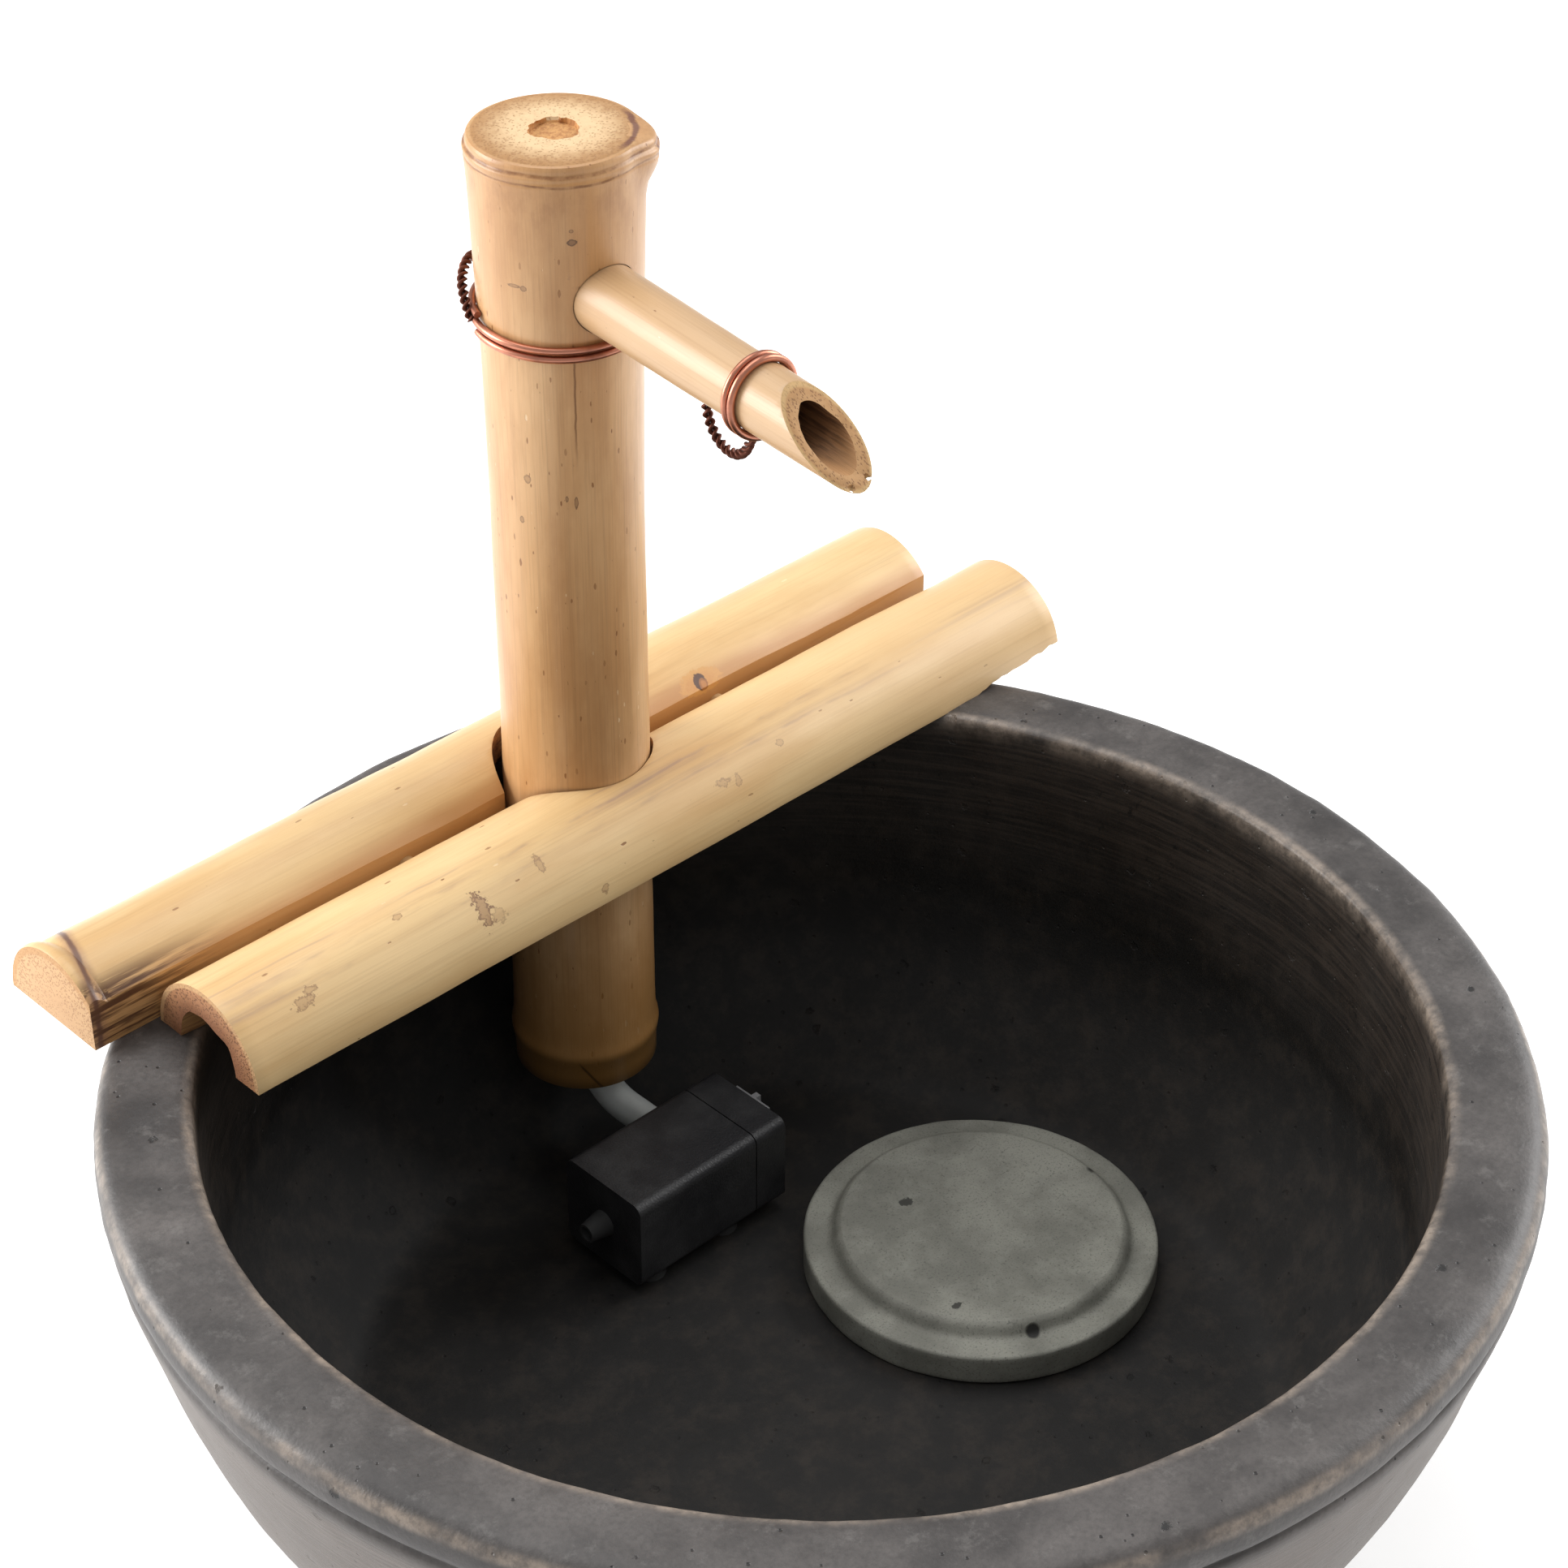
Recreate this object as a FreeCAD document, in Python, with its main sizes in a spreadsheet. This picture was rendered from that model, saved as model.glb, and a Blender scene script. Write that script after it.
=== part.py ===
import FreeCAD, Part
import math
import os

import Sketcher
from FreeCAD import Placement, Rotation, Vector

# A bamboo water spout that stands on two split bamboo rails across a round bowl.
# A small pump on the bowl's floor lifts the water through a tube inside the post.
# Origin: centre of the bowl's underside. +Z is up, the rails run along X, the spout points to -Y.
# All sizes are in millimetres.

document = FreeCAD.newDocument("bamboo_spout_bowl")
sheet = document.addObject("Spreadsheet::Sheet", "sizes")

DRIVING_SIZES = {
    # Bowl
    "bowl_radius": 190,
    "bowl_height": 140,
    "rim_width": 26.5,
    "rim_roll": 7,
    "lip_height": 13,
    "lip_groove": 1.8,
    "lip_groove_depth": 2.7,
    "shoulder_inset": 9.5,
    "shoulder_drop": 50,
    "outer_bend": 145,
    "foot_inset": 72,
    "foot_step": 3,
    "foot_ring": 18,
    "inner_edge": 2,
    "knee_inset": 29,
    "knee_height": 60,
    "inner_bend": 138,
    "corner_inset": 53.5,
    "corner_rise": 7,
    "corner_run": 10,
    "corner_bend": 14,
    "floor_thickness": 20,
    # Splash stone
    "stone_radius": 52,
    "stone_thickness": 14,
    "stone_step_width": 8,
    "stone_step_height": 4,
    "stone_edge": 3,
    "stone_margin": 3.4,
    "stone_gap": 4,
    # Split bamboo rails
    "rail_radius": 21.6,
    "rail_wall": 9,
    "front_rail_length": 306,
    "front_rail_start": -117,
    "rear_rail_length": 312,
    "rear_rail_start": -137,
    "rear_rail_trim": 5.2,
    "rail_node_swell": 2.6,
    "rail_node_width": 12,
    "rail_node_wall": 10,
    "seam_gap": 1.2,
    "seam_offset": 4,
    "notch_play": 1.9,
    "seat_gap": 0.3,
    "dowel_radius": 3,
    "dowel_length": 20,
    "dowel_height": 7,
    "dowel_spread": 59,
    # Post
    "post_across": 27.5,
    "post_inset": 62,
    "post_foot_height": 50,
    "post_length": 303,
    "post_radius": 21.1,
    "post_flare": 3.3,
    "flare_length": 87,
    "flare_easing": 1,
    "post_bore": 12.5,
    "post_top_node": 14,
    "post_top_ridge": 4,
    "post_ridge_rise": 2.6,
    "post_top_edge": 2.6,
    "foot_node_height": 9,
    "foot_node_swell": 1.2,
    "foot_node_spread": 5,
    "foot_node_wall": 5,
    "pith_radius": 4.8,
    "pith_depth": 2.5,
    "tube_passage": 7,
    # Spout
    "spout_drop": 39.5,
    "spout_heading": 6,
    "spout_root_radius": 9.7,
    "spout_tip_radius": 8.8,
    "spout_bore": 5.8,
    "spout_root": 12,
    "spout_reach": 126.2,
    "spout_slant": 57.5,
    "spout_hole_gap": 0.15,
    # Copper ties
    "wire_diameter": 2,
    "wire_pitch": 2.5,
    "wire_turns": 2,
    "wire_gap": 0.2,
    "post_tie_gap": 1.8,
    "post_tie_tilt": 3.5,
    "spout_tie_place": 85.5,
    "tail_diameter": 3.4,
    "tail_width": 12,
    "tail_leg": 6,
    "tail_turn_up": 3,
    # Water line
    "tube_radius": 5,
    "tube_bore": 3.5,
    "tube_bend": 18,
    "tube_lead": 6,
    "tube_grip": 10,
    "hose_fit": 0.05,
    "press_gap": 0.05,
    "end_gap": 0.2,
    "joiner_rise": 24,
    "joiner_collar": 2,
    "joiner_bore": 2.4,
    "elbow_body": 6,
    "sleeve_length": 16,
    "sleeve_gap": 0.1,
    # Pump
    "pump_lift": 4,
    "pump_width": 32,
    "pump_tall": 30,
    "pump_wall": 2,
    "pump_corner": 3,
    "housing_length": 31.5,
    "cap_thickness": 2,
    "volute_length": 12,
    "chamber_radius": 12,
    "inlet_radius": 5,
    "nozzle_collar": 2,
    "nozzle_collar_radius": 4.5,
    "nozzle_seat": 3,
    "spider_width": 2,
    "well_radius": 7.6,
    "well_wall": 1.4,
    "well_depth": 17,
    "magnet_radius": 7,
    "magnet_length": 13.5,
    "shaft_radius": 1.2,
    "shaft_fit": 0.05,
    "bush_radius": 3,
    "bush_length": 2.2,
    "bush_rim": 0.8,
    "thrust_gap": 0.4,
    "impeller_radius": 10.5,
    "impeller_disc": 1.4,
    "impeller_gap": 1,
    "blade_height": 5,
    "blade_thickness": 1.2,
    "blade_root": 0.3,
    "blade_count": 6,
    "core_leg": 4,
    "core_height": 14,
    "core_yoke": 4,
    "core_gap": 0.4,
    "coil_length": 4.4,
    "coil_build": 2.6,
    "coil_skin": 0.3,
    "coil_gap": 0.1,
    "cup_radius": 5,
    "cup_neck": 2.6,
    "cup_inset": 7.5,
    "gland_radius": 4.2,
    "gland_tip_radius": 3,
    "gland_neck_radius": 3.2,
    "gland_length": 7,
    "gland_bore": 2.2,
    # Strainer and its flow slider
    "strainer_length": 11.5,
    "strainer_wall": 1.8,
    "strainer_gap": 0.4,
    "slot_width": 1.6,
    "slot_height": 18,
    "slot_count": 7,
    "slot_low_edge": 3.6,
    "slider_height": 4.5,
    "slider_length": 14,
    "slider_thickness": 2,
    "slider_top_edge": 2.1,
    "slider_gap": 0.3,
    "window_inset": 2,
    "window_height": 2.2,
}

for row, (alias, number) in enumerate(DRIVING_SIZES.items(), start=1):
    sheet.set("A%d" % row, alias.replace("_", " "))
    sheet.set("B%d" % row, repr(number))
    sheet.setAlias("B%d" % row, alias)
document.recompute()


class Size:
    """A length that knows its number in mm and the formula that gives it from the sheet."""

    def __init__(self, number, formula):
        self.number = float(number)
        self.formula = formula

    def __add__(self, other):
        other = as_size(other)
        return Size(self.number + other.number, "(%s + %s)" % (self.formula, other.formula))

    def __sub__(self, other):
        other = as_size(other)
        return Size(self.number - other.number, "(%s - %s)" % (self.formula, other.formula))

    def __mul__(self, other):
        other = as_size(other)
        return Size(self.number * other.number, "(%s * %s)" % (self.formula, other.formula))

    def __truediv__(self, other):
        other = as_size(other)
        return Size(self.number / other.number, "(%s / %s)" % (self.formula, other.formula))

    def __neg__(self):
        return Size(-self.number, "(0 - %s)" % self.formula)

    def leg_beside(self, other):
        """The second leg of a right triangle whose long side is this size."""
        other = as_size(other)
        return Size(math.sqrt(self.number ** 2 - other.number ** 2),
                    "sqrt(%s ^ 2 - %s ^ 2)" % (self.formula, other.formula))


def as_size(amount):
    if isinstance(amount, Size):
        return amount
    return Size(amount, repr(float(amount)))


def size(alias):
    return Size(DRIVING_SIZES[alias], "sizes." + alias)


NOTHING = as_size(0)
BULGE_OUT = -1
BULGE_IN = 1
subparts = []


def sub_part(piece, label):
    piece.Label = label
    subparts.append(piece)
    return piece


def bind(piece, **lengths):
    for name, length in lengths.items():
        piece.setExpression(name, as_size(length).formula)


def place(piece, x=NOTHING, y=NOTHING, z=NOTHING, turn=None):
    """Puts a piece at bound coordinates, with an optional turn given as a Rotation."""
    x, y, z = as_size(x), as_size(y), as_size(z)
    piece.Placement = Placement(Vector(x.number, y.number, z.number), turn or Rotation())
    bind(piece, **{"Placement.Base.x": x, "Placement.Base.y": y, "Placement.Base.z": z})


# Solid primitives and booleans

ALONG = {
    "X": Rotation(Vector(0, 1, 0), 90),
    "Y": Rotation(Vector(1, 0, 0), -90),
    "Z": Rotation(),
}


def block(name, length, width, height, x, y, z):
    """A box from its lowest corner."""
    piece = document.addObject("Part::Box", name)
    bind(piece, Length=length, Width=width, Height=height)
    place(piece, x, y, z)
    return piece


def rod(name, radius, length, direction, x, y, z):
    """A round bar that starts at a point and runs along +X, +Y or +Z."""
    piece = document.addObject("Part::Cylinder", name)
    bind(piece, Radius=radius, Height=length)
    place(piece, x, y, z, ALONG[direction])
    return piece


def cone(name, radius_low, radius_high, length, direction, x, y, z):
    piece = document.addObject("Part::Cone", name)
    bind(piece, Radius1=radius_low, Radius2=radius_high, Height=length)
    place(piece, x, y, z, ALONG[direction])
    return piece


def cut(name, base, *tools):
    tool = tools[0] if len(tools) == 1 else fuse(name + "_cutters", *tools)
    piece = document.addObject("Part::Cut", name)
    piece.Base = base
    piece.Tool = tool
    return piece


def fuse(name, *pieces):
    piece = document.addObject("Part::MultiFuse", name)
    piece.Shapes = list(pieces)
    return piece


def group(name, *pieces):
    """Like pieces that stay separate solids in one node."""
    piece = document.addObject("Part::Compound", name)
    piece.Links = list(pieces)
    return piece


# Sketched bodies

def origin_feature(body, role):
    return next(item for item in body.Origin.OriginFeatures if item.Role == role)


def pin_point(sketch, geometry, end, x, y):
    """Holds one end of a sketch edge at bound coordinates."""
    for kind, coordinate, axis in (("DistanceX", x, -2), ("DistanceY", y, -1)):
        if abs(coordinate.number) < 1e-9:
            sketch.addConstraint(Sketcher.Constraint("PointOnObject", geometry, end, axis))
            continue
        if coordinate.number > 0:
            rule = Sketcher.Constraint(kind, -1, 1, geometry, end, coordinate.number)
            formula = coordinate.formula
        else:
            rule = Sketcher.Constraint(kind, geometry, end, -1, 1, -coordinate.number)
            formula = (-coordinate).formula
        index = sketch.addConstraint(rule)
        sketch.setExpression("Constraints[%d]" % index, formula)


def arc_between(start, finish, radius, bulge):
    """An arc of a radius that bulges out of the outline, to the right of its way, or into it."""
    chord = finish - start
    half = chord.Length / 2
    left = Vector(-chord.y, chord.x, 0).normalize()
    centre = (start + finish) * 0.5 - left * (bulge * math.sqrt(radius * radius - half * half))
    first, last = (start, finish) if bulge < 0 else (finish, start)
    angles = [math.atan2(end.y - centre.y, end.x - centre.x) for end in (first, last)]
    if angles[1] < angles[0]:
        angles[1] += 2 * math.pi
    return Part.ArcOfCircle(Part.Circle(centre, Vector(0, 0, 1), radius), angles[0], angles[1])


def outline(body, role, name, corners):
    """A closed outline, drawn anticlockwise; a corner that starts an arc also has its radius and bulge."""
    sketch = body.newObject("Sketcher::SketchObject", name)
    sketch.AttachmentSupport = [(origin_feature(body, role), "")]
    sketch.MapMode = "FlatFace"
    corners = [(as_size(corner[0]), as_size(corner[1])) + tuple(corner[2:]) for corner in corners]
    ends = []
    for index, corner in enumerate(corners):
        following = corners[(index + 1) % len(corners)]
        start = Vector(corner[0].number, corner[1].number, 0)
        finish = Vector(following[0].number, following[1].number, 0)
        if len(corner) == 2:
            geometry = sketch.addGeometry(Part.LineSegment(start, finish), False)
            ends.append((geometry, 1, 2))
        else:
            radius, bulge = as_size(corner[2]), corner[3]
            geometry = sketch.addGeometry(arc_between(start, finish, radius.number, bulge), False)
            ends.append((geometry, 1, 2) if bulge < 0 else (geometry, 2, 1))
            rule = sketch.addConstraint(Sketcher.Constraint("Radius", geometry, radius.number))
            sketch.setExpression("Constraints[%d]" % rule, radius.formula)
    for index, (geometry, start_end, finish_end) in enumerate(ends):
        following = ends[(index + 1) % len(ends)]
        sketch.addConstraint(Sketcher.Constraint("Coincident", geometry, finish_end, following[0], following[1]))
        pin_point(sketch, geometry, start_end, corners[index][0], corners[index][1])
    return sketch


def turned_body(label, corners, role="XZ_Plane", axis="V_Axis", angle=360, reverse=False):
    """A body whose outline is turned about one axis of its sketch."""
    body = document.addObject("PartDesign::Body", label)
    sketch = outline(body, role, label + "_outline", corners)
    turning = body.newObject("PartDesign::Revolution", label + "_turning")
    turning.Profile = sketch
    turning.ReferenceAxis = (sketch, [axis])
    turning.Angle = angle
    turning.Reversed = reverse
    body.Tip = turning
    return body


# Bowl: a cast vessel with a thick rolled rim, a thinner wall below it and a low foot ring.

rim_height = size("bowl_height")
bowl_radius = size("bowl_radius")
groove_height = rim_height - size("lip_height")
groove = size("lip_groove")
foot_radius = bowl_radius - size("foot_inset")
floor_radius = bowl_radius - size("corner_inset") - size("corner_run")
floor_height = size("floor_thickness")
bowl = turned_body("bowl", [
    (NOTHING, size("foot_step")),
    (foot_radius - size("foot_ring"), size("foot_step")),
    (foot_radius - size("foot_ring"), NOTHING),
    (foot_radius, NOTHING),
    (foot_radius, size("foot_step"), size("outer_bend"), BULGE_OUT),
    (bowl_radius - size("shoulder_inset"), rim_height - size("shoulder_drop")),
    (bowl_radius - groove / 2, groove_height - groove),
    (bowl_radius - size("lip_groove_depth"), groove_height),
    (bowl_radius, groove_height + groove),
    (bowl_radius, rim_height - size("rim_roll"), size("rim_roll"), BULGE_OUT),
    (bowl_radius - size("rim_roll"), rim_height),
    (bowl_radius - size("rim_width") + size("inner_edge"), rim_height, size("inner_edge"), BULGE_OUT),
    (bowl_radius - size("rim_width"), rim_height - size("inner_edge")),
    (bowl_radius - size("knee_inset"), size("knee_height"), size("inner_bend"), BULGE_IN),
    (bowl_radius - size("corner_inset"), floor_height + size("corner_rise"), size("corner_bend"), BULGE_IN),
    (floor_radius, floor_height),
    (NOTHING, floor_height),
])
sub_part(bowl, "bowl")

# Places that several pieces share: the post's axis, the tube's route below it and the pump beside it.

post_x = size("post_across")
post_y = bowl_radius - size("post_inset")
nozzle_tip = post_y - size("tube_bend") - size("tube_lead")
tube_start = nozzle_tip - size("tube_grip")
pump_back = tube_start - size("nozzle_collar")
pump_y = pump_back - size("pump_width") / 2
pump_front = pump_back - size("pump_width")
pump_low = floor_height + size("pump_lift")
pump_z = pump_low + size("pump_tall") / 2

# Splash stone: a turned disc with one step, which lies loose on the bowl's floor.

stone_rim = size("stone_radius")
stone_edge = size("stone_edge")
stone_top = size("stone_thickness")
stone_shelf = stone_top - size("stone_step_height")
stone = turned_body("splash_stone", [
    (NOTHING, NOTHING),
    (stone_rim - stone_edge, NOTHING, stone_edge, BULGE_OUT),
    (stone_rim, stone_edge),
    (stone_rim, stone_shelf - stone_edge, stone_edge, BULGE_OUT),
    (stone_rim - stone_edge, stone_shelf),
    (stone_rim - size("stone_step_width"), stone_shelf),
    (stone_rim - size("stone_step_width") - stone_edge, stone_top),
    (NOTHING, stone_top),
])
stone_y = pump_front - size("stone_gap") - stone_rim
stone_x = (floor_radius - size("stone_margin") - stone_rim).leg_beside(stone_y)
place(stone, stone_x, stone_y, floor_height)
sub_part(stone, "splash_stone")

# Rails: two bamboo culms split lengthwise, round side up, with a round notch for the post in their seam.
# The post leans on the front of the notch, which is a little wider than the post.

rail_radius = size("rail_radius")
rail_bore = rail_radius - size("rail_wall")
seam_y = post_y + size("seam_offset")
rear_face_y = seam_y + size("seam_gap")
seam_middle_y = seam_y + size("seam_gap") / 2
notch = rod("notch", size("post_radius") + size("notch_play"), rail_radius * 3, "Z",
            post_x, post_y + size("notch_play") - size("seat_gap"), rim_height - rail_radius)


def dowel_set(name, gap):
    """Two pins across the seam, one on each side of the post."""
    pins = []
    for side in (-1, 1):
        pins.append(rod("%s_%d" % (name, side + 1), size("dowel_radius") + gap, size("dowel_length") + gap * 2,
                        "Y", post_x + size("dowel_spread") * side,
                        seam_middle_y - size("dowel_length") / 2 - gap, rim_height + size("dowel_height")))
    return pins


def culm_half(name, start, middle_y, corners):
    """A split culm with its sawn side on the rim, made from its outline along the rail."""
    half = turned_body(name, corners, role="XY_Plane", axis="H_Axis", angle=180)
    place(half, start, middle_y, rim_height)
    return half


front_culm = culm_half("front_culm", size("front_rail_start"), seam_y - rail_radius, [
    (NOTHING, rail_bore),
    (size("front_rail_length"), rail_bore),
    (size("front_rail_length"), rail_radius),
    (NOTHING, rail_radius),
])
sub_part(cut("notched_front_culm", front_culm, notch, *dowel_set("front_dowel_hole", size("press_gap"))),
         "front_rail")

node_ridge = rail_radius + size("rail_node_swell")
rear_culm = culm_half("rear_culm", size("rear_rail_start"), rear_face_y + rail_radius - size("rear_rail_trim"), [
    (NOTHING, NOTHING),
    (size("rail_node_wall"), NOTHING),
    (size("rail_node_wall"), rail_bore),
    (size("rear_rail_length"), rail_bore),
    (size("rear_rail_length"), rail_radius),
    (size("rail_node_width") * 2, rail_radius),
    (size("rail_node_width"), node_ridge),
    (size("rail_node_width") / 2, rail_radius + size("rail_node_swell") / 2),
    (NOTHING, node_ridge),
])
sawn_side = block("sawn_side", size("rear_rail_length") + rail_radius * 2, rail_radius * 2, rail_radius * 3,
                  size("rear_rail_start") - rail_radius, rear_face_y - rail_radius * 2,
                  rim_height - rail_radius)
sub_part(cut("notched_rear_culm", rear_culm, sawn_side, notch,
             *dowel_set("rear_dowel_hole", size("press_gap"))), "rear_rail")
sub_part(group("dowel_pair", *dowel_set("dowel", NOTHING)), "rail_dowels")

# Post: one culm that widens to the node at its top; the node at its foot is drilled for the tube.

post_radius = size("post_radius")
post_foot = size("post_foot_height")
post_top = size("post_length")
ridge_radius = post_radius + size("post_flare")
ridge_height = post_top - size("post_top_ridge")
flare_start = ridge_height - size("flare_length")
flare_middle = ridge_height - size("flare_length") / 2
foot_ridge = size("foot_node_height")
node_wall_low = foot_ridge - size("foot_node_wall") / 2
node_wall_high = foot_ridge + size("foot_node_wall") / 2
post_culm = turned_body("post_culm", [
    (size("post_bore"), NOTHING),
    (post_radius, NOTHING),
    (post_radius, foot_ridge - size("foot_node_spread")),
    (post_radius + size("foot_node_swell"), foot_ridge),
    (post_radius, foot_ridge + size("foot_node_spread")),
    (post_radius, flare_start),
    (post_radius + size("flare_easing"), flare_middle),
    (ridge_radius, ridge_height),
    (ridge_radius - size("post_top_edge") / 2, ridge_height + size("post_ridge_rise")),
    (ridge_radius - size("post_top_edge"), post_top),
    (size("pith_radius"), post_top),
    (size("pith_radius"), post_top - size("pith_depth")),
    (NOTHING, post_top - size("pith_depth")),
    (NOTHING, post_top - size("post_top_node")),
    (size("post_bore"), post_top - size("post_top_node")),
    (size("post_bore"), node_wall_high),
    (size("tube_passage"), node_wall_high),
    (size("tube_passage"), node_wall_low),
    (size("post_bore"), node_wall_low),
])
place(post_culm, post_x, post_y, post_foot)

# Spout: a thin culm let into the post and cut on a slant, so that its lower lip reaches furthest.

spout_z = post_foot + post_top - size("spout_drop")
spout_root_radius = size("spout_root_radius")
spout_tip_radius = size("spout_tip_radius")
spout_angle = -90 - DRIVING_SIZES["spout_heading"]
heading = Rotation(Vector(0, 0, 1), spout_angle)


def place_on_spout(piece, along=NOTHING, turn=Rotation()):
    """Turns a piece that is made along +X into the spout's line, a distance out from the post's axis."""
    along = as_size(along)
    place(piece, post_x + along * math.cos(math.radians(spout_angle)),
          post_y + along * math.sin(math.radians(spout_angle)), spout_z, heading * turn)


def rod_on_spout(name, radius, start, length):
    piece = document.addObject("Part::Cylinder", name)
    bind(piece, Radius=radius, Height=length)
    place_on_spout(piece, start, ALONG["X"])
    return piece


spout_hole = rod_on_spout("spout_hole", spout_root_radius + size("spout_hole_gap"), NOTHING, ridge_radius * 2)
sub_part(cut("drilled_post", post_culm, spout_hole), "post")

slant_slope = math.tan(math.radians(DRIVING_SIZES["spout_slant"]))
cutter_side = spout_tip_radius * 3
spout = turned_body("spout_culm", [
    (size("spout_root"), size("spout_bore")),
    (size("spout_reach"), size("spout_bore")),
    (size("spout_reach"), spout_tip_radius),
    (size("spout_root"), spout_root_radius),
], role="XY_Plane", axis="H_Axis")
slant = spout.newObject("PartDesign::Pocket", "slant_cut")
slant.Profile = outline(spout, "XZ_Plane", "slant_outline", [
    (size("spout_reach"), -spout_tip_radius),
    (size("spout_reach") + cutter_side, -spout_tip_radius),
    (size("spout_reach") + cutter_side, cutter_side - spout_tip_radius),
    (size("spout_reach") - cutter_side * slant_slope, cutter_side - spout_tip_radius),
])
slant.Type = "ThroughAll"
slant.Midplane = True
spout.Tip = slant
place_on_spout(spout)
sub_part(spout, "spout")


# Copper ties: each one wire, wound round a culm in turns that don't touch, drawn on quarter-turn biarcs.

def arc_from_tangent(start, tangent, finish):
    chord = finish - start
    across = chord - tangent * chord.dot(tangent)
    if across.Length < 1e-7 * chord.Length:
        return Part.LineSegment(start, finish).toShape()
    normal = Vector(across).normalize()
    radius = chord.dot(chord) / (2 * chord.dot(normal))
    centre = start + normal * radius
    outward = (start + finish) * 0.5 - centre
    return Part.Arc(start, centre + outward.normalize() * radius, finish).toShape()


def biarc(start, tangent_start, finish, tangent_finish):
    chord = finish - start
    both = tangent_start + tangent_finish
    spread = 2 * (1 - tangent_start.dot(tangent_finish))
    lead = chord.dot(both)
    reach = (-lead + math.sqrt(lead * lead + spread * chord.dot(chord))) / spread
    joint = (start + finish) * 0.5 + (tangent_start - tangent_finish) * (reach / 2)
    back = arc_from_tangent(finish, tangent_finish * -1, joint)
    return [arc_from_tangent(start, tangent_start, joint), back]


def coil_wire(radius, pitch, turns, first_angle):
    edges = []
    quarters = int(turns * 4)

    def point(step):
        angle = first_angle + step * math.pi / 2
        return Vector(radius * math.cos(angle), radius * math.sin(angle), pitch * step / 4)

    def tangent(step):
        angle = first_angle + step * math.pi / 2
        rise = pitch / (2 * math.pi)
        return Vector(-radius * math.sin(angle), radius * math.cos(angle), rise).normalize()

    for step in range(quarters):
        edges += biarc(point(step), tangent(step), point(step + 1), tangent(step + 1))
    return Part.Wire(Part.__sortEdges__(edges)), point(0), tangent(0)


def round_tube(path, start, tangent, radius):
    circle = Part.Wire(Part.Circle(start, tangent, radius).toShape())
    return path.makePipeShell([circle], True, False)


def least_coil_gap(radius, pitch, wire):
    """Smallest distance between the surfaces of neighbouring turns, measured on points."""
    steps = 360
    turns = DRIVING_SIZES["wire_turns"]
    points = []
    for index in range(int(turns * steps) + 1):
        angle = 2 * math.pi * index / steps
        points.append(Vector(radius * math.cos(angle), radius * math.sin(angle), pitch * index / steps))
    least = None
    for index, here in enumerate(points):
        for other in points[index + steps // 2:]:
            gap = here.distanceToPoint(other) - wire
            least = gap if least is None or gap < least else least
    return least


wire_diameter = DRIVING_SIZES["wire_diameter"]
wire_radius = wire_diameter / 2
tie_spread = DRIVING_SIZES["wire_gap"] + wire_diameter
coil_rise = DRIVING_SIZES["wire_pitch"] * DRIVING_SIZES["wire_turns"]
seat_gap = DRIVING_SIZES["seat_gap"]
tail_radius = DRIVING_SIZES["tail_diameter"] / 2


def solid_piece(name, shape, placement, label):
    piece = document.addObject("Part::Feature", name)
    piece.Shape = shape
    piece.Placement = placement
    return sub_part(piece, label)


def tie(label, held_radius, first_angle, placement):
    """A winding round a culm of a radius, made along +Z and centred on its placement."""
    radius = held_radius + DRIVING_SIZES["wire_gap"] + wire_radius
    path, start, tangent = coil_wire(radius, DRIVING_SIZES["wire_pitch"], DRIVING_SIZES["wire_turns"],
                                     math.radians(first_angle))
    centred = placement * Placement(Vector(0, 0, -coil_rise / 2), Rotation())
    solid_piece(label + "_winding", round_tube(path, start, tangent, wire_radius), centred, label)
    gap = least_coil_gap(radius, DRIVING_SIZES["wire_pitch"], wire_diameter)
    print("%s: least gap between its turns %.2f mm" % (label, gap))


def tail_loop(label, placement):
    """The two wire ends twisted together and curled: a leg down, a half round and a short leg up."""
    half = DRIVING_SIZES["tail_width"] / 2
    leg = DRIVING_SIZES["tail_leg"]
    top = Vector(0, 0, 0)
    turn_start = Vector(0, 0, -leg)
    turn_middle = Vector(half, 0, -leg - half)
    turn_end = Vector(2 * half, 0, -leg)
    tip = turn_end + Vector(0, 0, DRIVING_SIZES["tail_turn_up"])
    path = Part.Wire([Part.LineSegment(top, turn_start).toShape(),
                      Part.Arc(turn_start, turn_middle, turn_end).toShape(),
                      Part.LineSegment(turn_end, tip).toShape()])
    solid_piece(label + "_curl", round_tube(path, top, Vector(0, 0, -1), tail_radius), placement, label)


def post_radius_at(height):
    """The post's radius at a height above the ground, on its slightly flared upper part."""
    steps = [(post_foot + flare_start, post_radius),
             (post_foot + flare_middle, post_radius + size("flare_easing")),
             (post_foot + ridge_height, ridge_radius)]
    if height <= steps[0][0].number:
        return post_radius.number
    for (low, narrow), (high, wide) in zip(steps, steps[1:]):
        if height <= high.number:
            share = (height - low.number) / (high.number - low.number)
            return narrow.number + (wide.number - narrow.number) * share
    return ridge_radius.number


# The post's tie runs just under the spout and its curled end stands up at the post's left side.

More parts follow.
